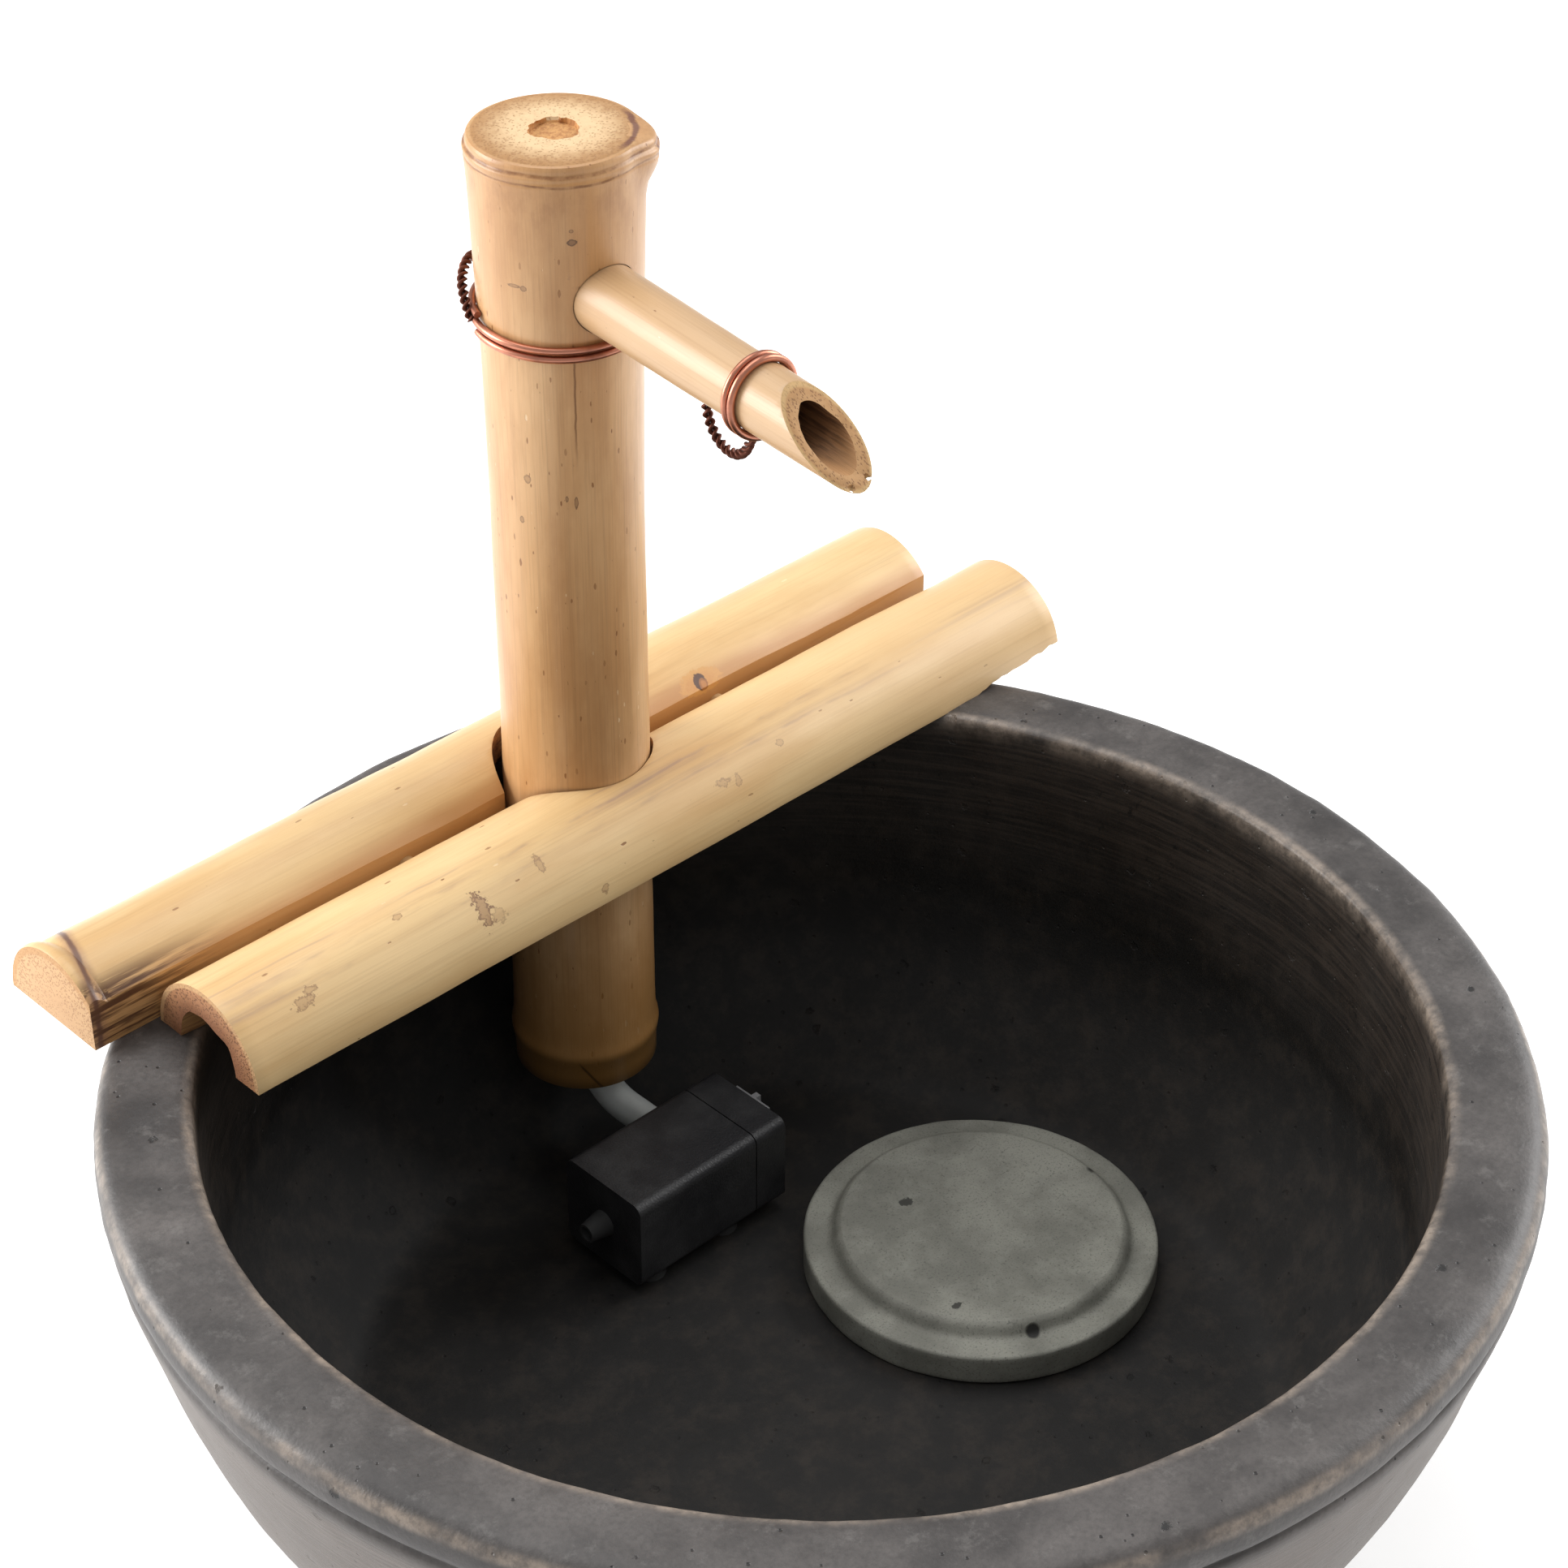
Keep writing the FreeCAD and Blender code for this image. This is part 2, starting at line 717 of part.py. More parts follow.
TAIL_ANGLE = 161
post_axis = Vector(post_x.number, post_y.number, 0)
tie_tilt = DRIVING_SIZES["post_tie_tilt"]
post_tie_height = spout_z.number - spout_root_radius.number - DRIVING_SIZES["post_tie_gap"]
tilt_rise = post_radius.number * math.sin(math.radians(tie_tilt))
held_radius = post_radius_at(post_tie_height + coil_rise / 2 + tilt_rise)
tie("post_tie", held_radius, TAIL_ANGLE - spout_angle,
    Placement(post_axis + Vector(0, 0, post_tie_height), heading * Rotation(Vector(0, 1, 0), tie_tilt)))
tail_height = DRIVING_SIZES["tail_leg"] + DRIVING_SIZES["tail_width"] / 2 + tail_radius
tail_foot = post_tie_height + coil_rise / 2 + wire_radius + tilt_rise + seat_gap
tail_out = post_radius_at(tail_foot + tail_height) + seat_gap + tail_radius
tail_direction = Rotation(Vector(0, 0, 1), TAIL_ANGLE)
tail_loop("post_tie_tail", Placement(
    post_axis + Vector(0, 0, tail_foot) + tail_direction.multVec(Vector(tail_out, 0, 0)),
    Rotation(Vector(0, 0, 1), TAIL_ANGLE + 90) * Rotation(Vector(1, 0, 0), 180)))

# The spout's tie sits about two thirds of the way out, with its curled end hanging below it.

tie_place = DRIVING_SIZES["spout_tie_place"]
spout_share = (tie_place - size("spout_root").number) / (size("spout_reach") - size("spout_root")).number
spout_held_radius = spout_root_radius.number + (spout_tip_radius - spout_root_radius).number * spout_share
spout_line = heading.multVec(Vector(1, 0, 0))
tie_centre = post_axis + Vector(0, 0, spout_z.number) + spout_line * tie_place
tie("spout_tie", spout_held_radius, 0, Placement(tie_centre, heading * ALONG["X"]))
tail_loop("spout_tie_tail", Placement(
    tie_centre - Vector(0, 0, spout_held_radius + tie_spread + seat_gap),
    Rotation(Vector(0, 0, 1), spout_angle + 180)))

# Water line: a clear tube from the pump into the post, a joiner, the riser, an elbow and the spout's sleeve.

barb_radius = size("tube_bore") - size("hose_fit")
joiner_low = post_foot + size("joiner_rise") - size("joiner_collar") / 2
joiner_top = joiner_low + size("joiner_collar")


def bent_tube(radius):
    """The supply tube's outer shape or its bore: level from the pump, then a bend up into the post."""
    x = post_x.number
    y = post_y.number
    z = pump_z.number
    bend = DRIVING_SIZES["tube_bend"]
    diagonal = bend * math.sqrt(0.5)
    start = Vector(x, tube_start.number, z)
    bend_start = Vector(x, y - bend, z)
    bend_middle = Vector(x, y - bend + diagonal, z + bend - diagonal)
    bend_end = Vector(x, y, z + bend)
    finish = Vector(x, y, joiner_low.number)
    path = Part.Wire([Part.LineSegment(start, bend_start).toShape(),
                      Part.Arc(bend_start, bend_middle, bend_end).toShape(),
                      Part.LineSegment(bend_end, finish).toShape()])
    return round_tube(path, start, Vector(0, 1, 0), radius)


tube_wall = bent_tube(DRIVING_SIZES["tube_radius"]).cut(bent_tube(DRIVING_SIZES["tube_bore"]))
solid_piece("bent_tube", tube_wall, Placement(), "supply_tube")


def rod_on_post(name, radius, start, length):
    return rod(name, radius, length, "Z", post_x, post_y, start)


grip = size("tube_grip")
joiner_length = grip * 2 + size("joiner_collar")
joiner_stem = rod_on_post("joiner_stem", barb_radius, joiner_low - grip, joiner_length)
joiner_collar = rod_on_post("joiner_collar", size("tube_radius"), joiner_low, size("joiner_collar"))
joiner_hole = rod_on_post("joiner_hole", size("joiner_bore"), joiner_low - grip * 2, joiner_length * 2)
sub_part(cut("bored_joiner", fuse("joiner_body", joiner_stem, joiner_collar), joiner_hole), "tube_joiner")

elbow_radius = size("elbow_body")
elbow_low = spout_z - elbow_radius
riser_length = elbow_low - size("end_gap") - joiner_top
riser_outside = rod_on_post("riser_outside", size("tube_radius"), joiner_top, riser_length)
riser_hole = rod_on_post("riser_hole", size("tube_bore"), joiner_top - grip, riser_length + grip * 2)
sub_part(cut("bored_riser", riser_outside, riser_hole), "riser_tube")

elbow_reach = size("spout_root") + size("sleeve_length")
elbow_outside = fuse(
    "elbow_outside",
    rod_on_post("elbow_barb", barb_radius, elbow_low - grip, grip + elbow_radius),
    rod_on_post("elbow_block", elbow_radius, elbow_low, elbow_radius * 2),
    rod_on_spout("elbow_arm", barb_radius, NOTHING, elbow_reach))
elbow_rise = rod_on_post("elbow_rise", size("joiner_bore"), elbow_low - grip * 2, grip * 2 + elbow_radius)
elbow_run = rod_on_spout("elbow_run", size("joiner_bore"), NOTHING, elbow_reach * 2)
sub_part(cut("bored_elbow", elbow_outside, elbow_rise, elbow_run), "tube_elbow")

sleeve_start = elbow_reach + size("end_gap") - size("sleeve_length")
sleeve_outside = rod_on_spout("sleeve_outside", size("spout_bore") - size("sleeve_gap"), sleeve_start,
                              size("sleeve_length"))
sleeve_hole = rod_on_spout("sleeve_hole", size("tube_bore"), NOTHING, elbow_reach * 2)
sub_part(cut("bored_sleeve", sleeve_outside, sleeve_hole), "spout_sleeve")

# Pump: a potted motor housing with a dry well for the rotor, closed behind by a cap with the cable's gland.

wall = size("pump_wall")
pump_width = size("pump_width")
pump_tall = size("pump_tall")
volute_start = post_x - size("volute_length") / 2
housing_start = volute_start - size("housing_length")
cap_start = housing_start - size("cap_thickness")
well_start = volute_start - size("well_depth")
hollow_width = pump_width - wall * 2
hollow_tall = pump_tall - wall * 2


def pump_block(name, start, length):
    """A slice of the pump's outer shape, with its four long edges rounded."""
    whole = block(name + "_block", length, pump_width, pump_tall, start, pump_front, pump_low)
    document.recompute()
    rounded = document.addObject("Part::Fillet", name + "_rounded")
    rounded.Base = whole
    corner = DRIVING_SIZES["pump_corner"]
    long_edges = [number for number, edge in enumerate(whole.Shape.Edges, start=1)
                  if edge.Vertexes[0].X != edge.Vertexes[-1].X]
    rounded.Edges = [(number, corner, corner) for number in long_edges]
    return rounded


def pump_rod(name, radius, start, length):
    """A round bar on the rotor's axis."""
    return rod(name, radius, length, "X", start, pump_y, pump_z)


housing_hollow = block("housing_hollow", size("housing_length") - wall, hollow_width, hollow_tall,
                       housing_start, pump_front + wall, pump_low + wall)
well_tube = pump_rod("well_tube", size("well_radius") + size("well_wall"), well_start, size("well_depth"))
well_hole = pump_rod("well_hole", size("well_radius"), well_start + size("well_wall"), size("well_depth"))
housing_shell = cut("housing_shell", pump_block("housing", housing_start, size("housing_length")),
                    housing_hollow)
sub_part(cut("housing_with_well", fuse("housing_and_well", housing_shell, well_tube), well_hole),
         "pump_housing")

cap_hole = pump_rod("cap_hole", size("gland_neck_radius") + size("press_gap"), cap_start - wall, wall * 3)
sub_part(cut("bored_cap", pump_block("rear_cap", cap_start, size("cap_thickness")), cap_hole),
         "pump_rear_cap")

gland_start = cap_start - size("gland_length")
gland_taper = cone("gland_taper", size("gland_tip_radius"), size("gland_radius"), size("gland_length"), "X",
                   gland_start, pump_y, pump_z)
gland_neck = pump_rod("gland_neck", size("gland_neck_radius"), cap_start, size("cap_thickness"))
gland_hole = pump_rod("gland_hole", size("gland_bore"), gland_start - wall, size("gland_length") * 2)
sub_part(cut("bored_gland", fuse("gland_outside", gland_taper, gland_neck), gland_hole), "cable_gland")

# Stator: a laminated yoke whose two legs stand beside the rotor's well, with a coil round each leg.

core_start = housing_start + size("core_gap")
core_low = pump_z - size("core_height") / 2
leg_length = volute_start - wall - size("core_gap") - core_start
near_leg_y = pump_front + wall + size("core_gap")
far_leg_y = pump_back - wall - size("core_gap") - size("core_leg")
core_legs = [block(name, leg_length, size("core_leg"), size("core_height"), core_start, leg_y, core_low)
             for name, leg_y in (("near_leg", near_leg_y), ("far_leg", far_leg_y))]
core_bar = block("core_bar", size("core_yoke"), hollow_width - size("core_gap") * 2, size("core_height"),
                 core_start, near_leg_y, core_low)
sub_part(fuse("core_with_legs", core_bar, *core_legs), "stator_core")


def coil(name, leg_y, low_side_build):
    """A coil as one solid ring round a leg, thin where the housing is close and thick on the inside."""
    gap = size("coil_gap")
    start = core_start + size("core_yoke") + gap
    outside = block(name + "_outside", size("coil_length"),
                    size("core_leg") + size("coil_skin") + size("coil_build"),
                    size("core_height") + size("coil_build") * 2,
                    start, leg_y - low_side_build, core_low - size("coil_build"))
    hole = block(name + "_hole", size("coil_length") * 3, size("core_leg") + gap * 2,
                 size("core_height") + gap * 2, start - size("coil_length"), leg_y - gap, core_low - gap)
    return cut(name, outside, hole)


sub_part(group("coil_pair", coil("near_coil", near_leg_y, size("coil_skin")),
               coil("far_coil", far_leg_y, size("coil_build"))), "stator_coils")

# Rotor: a magnet and an impeller that turn together on a fixed ceramic shaft between two rubber bushes.

well_floor = well_start + size("well_wall")
spider_start = volute_start + size("volute_length") - wall
front_bush_start = spider_start + wall - size("bush_length")
running_bore = size("shaft_radius") + size("shaft_fit")
bush_length = size("bush_length")
sub_part(pump_rod("shaft_bar", size("shaft_radius"), well_floor, spider_start + wall - well_floor),
         "rotor_shaft")


def bush(name, start):
    hole = pump_rod(name + "_hole", size("shaft_radius") + size("press_gap"), start - bush_length,
                    bush_length * 3)
    return cut(name, pump_rod(name + "_outside", size("bush_radius"), start, bush_length), hole)


sub_part(group("bush_pair", bush("rear_bush", well_floor), bush("front_bush", front_bush_start)),
         "shaft_bushes")

magnet_start = well_floor + bush_length + size("thrust_gap")
magnet_end = magnet_start + size("magnet_length")
magnet_bar = pump_rod("magnet_bar", size("magnet_radius"), magnet_start, size("magnet_length"))
magnet_hole = pump_rod("magnet_hole", running_bore, magnet_start - wall, size("magnet_length") + wall * 2)
sub_part(cut("bored_magnet", magnet_bar, magnet_hole), "rotor_magnet")

disc_start = volute_start + size("impeller_gap")
blade_foot = size("bush_radius") - size("blade_root")
blades = []
for index in range(DRIVING_SIZES["blade_count"]):
    blade = document.addObject("Part::Box", "blade_%d" % index)
    bind(blade, Length=size("blade_height"), Width=size("blade_thickness"),
         Height=size("impeller_radius") - blade_foot)
    turn = Rotation(Vector(1, 0, 0), 360.0 * index / DRIVING_SIZES["blade_count"])
    sideways = turn.multVec(Vector(0, 1, 0))
    outward = turn.multVec(Vector(0, 0, 1))
    place(blade, disc_start + size("impeller_disc"),
          pump_y + blade_foot * outward.y - size("blade_thickness") * (sideways.y / 2),
          pump_z + blade_foot * outward.z - size("blade_thickness") * (sideways.z / 2), turn)
    blades.append(blade)
hub = pump_rod("hub", size("bush_radius"), magnet_end, front_bush_start - size("thrust_gap") - magnet_end)
disc = pump_rod("disc", size("impeller_radius"), disc_start, size("impeller_disc"))
impeller_hole = pump_rod("impeller_hole", running_bore, magnet_start, size("housing_length"))
sub_part(cut("bored_impeller", fuse("impeller_outside", hub, disc, *blades), impeller_hole), "impeller")

# Volute: a block bored for the impeller, with the front bush in a bar across its inlet and a side outlet.

chamber = pump_rod("chamber", size("chamber_radius"), volute_start, size("volute_length") - wall)
inlet = pump_rod("inlet", size("inlet_radius"), spider_start - wall, wall * 3)
outlet_hole = rod("outlet_hole", barb_radius + size("press_gap"), pump_width, "Y", post_x, pump_y, pump_z)
bored_volute = cut("bored_volute", pump_block("volute", volute_start, size("volute_length")),
                   chamber, inlet, outlet_hole)
spider_reach = size("inlet_radius") + wall / 2
spider_bar = block("spider_bar", wall, spider_reach * 2, size("spider_width"), spider_start,
                   pump_y - spider_reach, pump_z - size("spider_width") / 2)
spider_ring = pump_rod("spider_ring", size("bush_radius") + size("bush_rim"), spider_start, wall)
bush_seat = pump_rod("bush_seat", size("bush_radius") + size("press_gap"), spider_start - wall, wall * 3)
sub_part(cut("volute_with_seat", fuse("volute_with_spider", bored_volute, spider_bar, spider_ring),
             bush_seat), "pump_volute")

nozzle_start = pump_back - size("nozzle_seat")
nozzle_stem = rod("nozzle_stem", barb_radius, nozzle_tip - nozzle_start, "Y", post_x, nozzle_start, pump_z)
nozzle_collar = rod("nozzle_collar", size("nozzle_collar_radius"), size("nozzle_collar") - size("end_gap"),
                    "Y", post_x, pump_back, pump_z)
nozzle_hole = rod("nozzle_hole", size("joiner_bore"), pump_width * 2, "Y", post_x, pump_y, pump_z)
sub_part(cut("bored_nozzle", fuse("nozzle_outside", nozzle_stem, nozzle_collar), nozzle_hole),
         "outlet_nozzle")

# Strainer: a slotted cover over the inlet, with a slider that throttles the flow through a window above.

strainer_start = volute_start + size("volute_length") + size("strainer_gap")
strainer_front = strainer_start + size("strainer_length")
cover = size("strainer_wall")
slot_pitch = size("slot_width") * 2
openings = []
for index in range(DRIVING_SIZES["slot_count"]):
    steps_aside = index - DRIVING_SIZES["slot_count"] / 2
    openings.append(block("slot_%d" % index, cover * 3, size("slot_width"), size("slot_height"),
                          strainer_front - cover * 2,
                          pump_y + slot_pitch * steps_aside + size("slot_width") / 2,
                          pump_low + size("slot_low_edge")))
slider_low = pump_low + pump_tall - size("slider_top_edge") - size("slider_height")
slider_side = pump_y - size("slider_length") / 2
openings.append(block("flow_window", cover * 3, size("slider_length") - size("window_inset") * 2,
                      size("window_height"), strainer_front - cover * 2, slider_side + size("window_inset"),
                      slider_low + (size("slider_height") - size("window_height")) / 2))
openings.append(block("strainer_hollow", size("strainer_length") - cover, pump_width - cover * 2,
                      pump_tall - cover * 2, strainer_start, pump_front + cover, pump_low + cover))
sub_part(cut("slotted_strainer", pump_block("strainer", strainer_start, size("strainer_length")), *openings),
         "strainer")

slider_start = strainer_front + size("slider_gap")
slider_plate = block("slider_plate", size("slider_thickness"), size("slider_length"), size("slider_height"),
                     slider_start, slider_side, slider_low)
slider_knob = block("slider_knob", size("slider_thickness") * 2, size("slider_thickness"),
                    size("slider_height"), slider_start, pump_y - size("slider_thickness") / 2, slider_low)
sub_part(fuse("slider_with_knob", slider_plate, slider_knob), "flow_slider")

# Suction cups: four rubber feet between the pump and the bowl's floor.

cup_inset = size("cup_inset")
cups = []
for cup_x in (housing_start + cup_inset, volute_start + size("volute_length") - cup_inset):
    for cup_y in (pump_front + cup_inset, pump_back - cup_inset):
        cups.append(cone("cup_%d" % len(cups), size("cup_radius"), size("cup_neck"), size("pump_lift"), "Z",
                         cup_x, cup_y, floor_height))
sub_part(group("cup_set", *cups), "suction_cups")

# Every object has to be sound before anything is written.

document.recompute()
for item in document.Objects:
    if "Invalid" in item.State or "Error" in item.State:
        raise RuntimeError("%s did not build: %s" % (item.Name, item.State))
for piece in subparts:
    shape = piece.Shape
    if shape.isNull() or not shape.isValid() or not shape.Solids:
        raise RuntimeError("%s has no sound solid" % piece.Label)
slant_waste = spout.Tip.BaseFeature.Shape.Volume - spout.Shape.Volume
if slant_waste <= 0:
    raise RuntimeError("the slant cut took nothing off the spout")

os.makedirs("parts", exist_ok=True)
for piece in subparts:
    piece.Shape.exportStep("parts/%s.step" % piece.Label)
print("%d sub-parts written" % len(subparts))
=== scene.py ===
import math

import bpy
from mathutils import Matrix, Vector


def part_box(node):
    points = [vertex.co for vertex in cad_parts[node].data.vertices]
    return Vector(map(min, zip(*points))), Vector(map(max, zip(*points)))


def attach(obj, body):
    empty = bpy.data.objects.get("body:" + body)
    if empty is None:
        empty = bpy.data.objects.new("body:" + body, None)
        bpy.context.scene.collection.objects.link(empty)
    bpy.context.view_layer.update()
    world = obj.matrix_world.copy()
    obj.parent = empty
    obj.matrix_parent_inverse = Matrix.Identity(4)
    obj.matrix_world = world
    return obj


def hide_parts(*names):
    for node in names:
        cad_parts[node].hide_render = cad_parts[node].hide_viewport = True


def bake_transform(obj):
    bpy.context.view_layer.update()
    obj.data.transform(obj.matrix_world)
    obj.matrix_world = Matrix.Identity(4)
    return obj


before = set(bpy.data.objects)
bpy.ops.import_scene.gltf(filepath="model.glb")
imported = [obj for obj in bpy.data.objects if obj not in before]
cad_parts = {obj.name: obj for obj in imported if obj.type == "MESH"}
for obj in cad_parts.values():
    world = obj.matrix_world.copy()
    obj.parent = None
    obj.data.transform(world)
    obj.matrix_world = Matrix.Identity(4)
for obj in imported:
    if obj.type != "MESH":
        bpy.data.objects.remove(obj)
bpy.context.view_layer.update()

# Studio: a pale floor, a broad soft light from the left, a weaker one from the right and one overhead.
# The camera looks down past the spout at the angle of the photograph.

def start_fresh():
    if bpy.context.mode != "OBJECT":
        bpy.ops.object.mode_set(mode="OBJECT")
    bpy.ops.object.select_all(action="DESELECT")


class Value:
    """One value in a shader; sums, products and comparisons with it become Math nodes."""

    def __init__(self, socket):
        self.socket = socket

    def __add__(self, other):
        return maths("ADD", self, other)

    def __sub__(self, other):
        return maths("SUBTRACT", self, other)

    def __rsub__(self, other):
        return maths("SUBTRACT", other, self)

    def __mul__(self, other):
        return maths("MULTIPLY", self, other)

    def __gt__(self, other):
        return maths("GREATER_THAN", self, other)

    def __lt__(self, other):
        return maths("LESS_THAN", self, other)

    def __abs__(self):
        return maths("ABSOLUTE", self)


def put(kind, sockets, **settings):
    """Adds a node and gives its outputs. Each socket takes a number, a colour, a vector or a Value."""
    tree = next(value.socket.id_data for value in sockets.values() if isinstance(value, Value))
    node = tree.nodes.new(kind)
    for name, value in settings.items():
        setattr(node, name, value)
    for name, value in sockets.items():
        socket = node.inputs[name]
        if isinstance(value, Value):
            tree.links.new(value.socket, socket)
        else:
            socket.default_value = (*value, 1) if socket.type == "RGBA" else value
    return [Value(output) for output in node.outputs]


def maths(operation, *terms):
    return put("ShaderNodeMath", dict(enumerate(terms)), operation=operation)[0]


def blended(amount, first, second):
    """A colour between two, by amount."""
    return put("ShaderNodeMix", {0: amount, 6: first, 7: second}, data_type="RGBA")[2]


def noise(place, scale, detail=3, roughness=0.5):
    sockets = {"Vector": place, "Scale": scale, "Detail": detail, "Roughness": roughness}
    return put("ShaderNodeTexNoise", sockets)[0]


def new_finish(name, **shader):
    """A material with these settings on its shader, and its Object coordinates."""
    material = bpy.data.materials.new(name)
    material.use_nodes = True
    tree = material.node_tree
    for socket, value in shader.items():
        tree.nodes["Principled BSDF"].inputs[socket.replace("_", " ")].default_value = value
    return material, Value(tree.nodes.new("ShaderNodeTexCoord").outputs["Object"])


def feed(material, bump=None, **values):
    """Links values to the shader's inputs; bump is a height with its strength and its distance."""
    if bump:
        height, strength, distance = bump
        sockets = {"Height": height, "Strength": strength, "Distance": distance}
        values["Normal"] = put("ShaderNodeBump", sockets)[0]
    for name, value in values.items():
        socket = material.node_tree.nodes["Principled BSDF"].inputs[name.replace("_", " ")]
        material.node_tree.links.new(value.socket, socket)


def plain_finish(name, pattern, low, high, roughness=None, relief=None, **shader):
    """A material with one pattern that drives its colour, roughness (base, gain) and relief."""
    material, spot = new_finish(name, **shader)
    amount = pattern(spot)
    feed(material, Base_Color=blended(amount, low, high))
    if roughness:
        feed(material, Roughness=amount * roughness[1] + roughness[0])
    if relief:
        feed(material, bump=(amount, *relief))
    return material


start_fresh()
bpy.ops.mesh.primitive_plane_add(size=8, location=(0, 0, -0.0002))
floor = bpy.context.object
floor.name = "floor"
floor.data.materials.append(plain_finish(
    "floor_paint", lambda spot: noise(spot, 60), (0.86, 0.86, 0.86), (0.9, 0.9, 0.9), Roughness=0.85,
    Emission_Color=(1, 1, 1, 1), Emission_Strength=0.34))
bpy.ops.object.transform_apply()

world = bpy.data.worlds.new("studio")
world.use_nodes = True
world.node_tree.nodes["Background"].inputs["Color"].default_value = (1, 1, 1, 1)
world.node_tree.nodes["Background"].inputs["Strength"].default_value = 0.5
bpy.context.scene.world = world
bpy.context.scene.view_settings.view_transform = "Standard"

for name, place, aim, width, watts in (
        ("left_light", (-0.9, 1.1, 0.7), (0, 0.1, 0.2), 0.9, 24),
        ("right_light", (1.2, -0.3, 0.75), (0, 0, 0.15), 0.8, 13),
        ("top_light", (0.1, 0.5, 1.6), (0, 0, 0.1), 1.2, 10)):
    start_fresh()
    bpy.ops.object.light_add(type="AREA", location=place)
    light = bpy.context.object
    light.name = name
    light.data.size = width
    light.data.energy = watts
    light.rotation_euler = (Vector(aim) - Vector(place)).to_track_quat("-Z", "Y").to_euler()

heading, tilt, lean = math.radians(-44.083), math.radians(90 - 35.17), math.radians(0.287)
bpy.ops.object.camera_add()
camera = bpy.context.object
camera.data.lens = 83.5
camera.data.sensor_width = 36
camera.data.clip_end = 20
camera.matrix_world = (
    Matrix.Translation((-0.5233, -0.5259, 0.7501)) @ Matrix.Rotation(heading, 4, "Z")
    @ Matrix.Rotation(tilt, 4, "X") @ Matrix.Rotation(lean, 4, "Z"))
bpy.context.scene.camera = camera

# Bowl: cast stoneware with a thick rolled rim, a fine groove under the roll and a low foot ring.
# It is fired dark, with a matte, slightly pitted skin that has worn to tan along the rim's edges; a painted
# highlight lies along those edges, a painted sheen lifts the outer wall and painted shade darkens the inside.

def take(piece):
    """Selects the piece alone and makes it the active one."""
    start_fresh()
    piece.select_set(True)
    bpy.context.view_layer.objects.active = piece


def edit(piece):
    """Opens the whole piece in edit mode."""
    take(piece)
    bpy.ops.object.mode_set(mode="EDIT")
    bpy.ops.mesh.select_mode(type="VERT")
    bpy.ops.mesh.select_all(action="SELECT")


def start_ring(name, points, radius, place, rotation=(0, 0, 0)):
    """A new piece that starts as a ring, open in edit mode."""
    start_fresh()
    bpy.ops.mesh.primitive_circle_add(vertices=points, radius=radius, location=place, rotation=rotation)
    piece = bpy.context.object
    piece.name = name
    bpy.ops.object.transform_apply()
    edit(piece)
    return piece


def extrude(*way):
    bpy.ops.mesh.extrude_region_move(TRANSFORM_OT_translate={"value": way})


def close_ends():
    bpy.ops.mesh.select_all(action="SELECT")
    bpy.ops.mesh.fill_holes(sides=0)
    bpy.ops.mesh.normals_make_consistent(inside=False)


def turn_rings(name, points, rings):
    """A piece drawn from ring to ring, as on a wheel, and closed at both ends."""
    radius, height = rings[0]
    piece = start_ring(name, points, radius, (0, 0, height))
    for next_radius, next_height in rings[1:]:
        extrude(0, 0, next_height - height)
        bpy.ops.transform.resize(value=(next_radius / radius, next_radius / radius, 1))
        radius, height = next_radius, next_height
    close_ends()
    return piece


def apply_modifier(piece, kind, **settings):
    take(piece)
    bpy.ops.object.modifier_add(type=kind)
    modifier = piece.modifiers[-1]
    for name, value in settings.items():
        setattr(modifier, name, value)
    bpy.ops.object.modifier_apply(modifier=modifier.name)


def subdivide(piece, levels):
    apply_modifier(piece, "SUBSURF", levels=levels, use_limit_surface=False)


def roughen(piece, name, grain_size, depth):
    """Moves the surface in and out by up to half of depth, in lumps of about the grain's size."""
    texture = bpy.data.textures.new(name, "CLOUDS")
    texture.noise_scale = grain_size
    apply_modifier(piece, "DISPLACE", texture=texture, strength=depth, mid_level=0.5, texture_coords="LOCAL")


def smooth_piece(piece, angle):
    take(piece)
    bpy.ops.object.shade_smooth_by_angle(angle=math.radians(angle))


UNDERSIDE = 0.003
INNER_FLOOR = 0.02
bowl_rings = [(step / 1000, UNDERSIDE) for step in (10, 32, 54, 76, 98)]
bowl_rings += [
    (0.1, 0.0018), (0.102, 0.0005), (0.109, 0.0004), (0.116, 0.0005), (0.1182, 0.0014), (0.1206, 0.0046),
    (0.1305, 0.012), (0.1447, 0.025), (0.1572, 0.04), (0.1667, 0.055), (0.1747, 0.072), (0.1805, 0.09),
    (0.1847, 0.107), (0.1884, 0.121), (0.1891, 0.1246), (0.1884, 0.1262), (0.1874, 0.127), (0.1884, 0.1278),
    (0.1898, 0.1293), (0.1901, 0.133), (0.1893, 0.1368), (0.1868, 0.1392), (0.183, 0.1401), (0.174, 0.1402),
    (0.1672, 0.1401), (0.1646, 0.1395), (0.1636, 0.1376), (0.1629, 0.118), (0.1619, 0.088), (0.161, 0.062),
    (0.1539, 0.048), (0.1448, 0.036), (0.1369, 0.0274), (0.1316, 0.022), (0.124, 0.0201),
]
bowl_rings += [(step / 1000, INNER_FLOOR) for step in (110, 96, 82, 68, 54, 40, 25, 10)]
bowl = turn_rings("bowl_vessel", 112, bowl_rings)
subdivide(bowl, 2)
roughen(bowl, "bowl_wobble", 0.07, 0.0011)
roughen(bowl, "bowl_dents", 0.011, 0.00055)
smooth_piece(bowl, 60)


def eased(value, low, high):
    """0 below low, 1 above high and smooth between them."""
    return put("ShaderNodeMapRange", {"Value": value, "From Min": low, "From Max": high},
               interpolation_type="SMOOTHSTEP")[0]


def stretched(place, scale, shift=(0, 0, 0)):
    return put("ShaderNodeMapping", {"Vector": place, "Scale": scale, "Location": shift})[0]


def axes_of(place):
    return put("ShaderNodeSeparateXYZ", {"Vector": place})


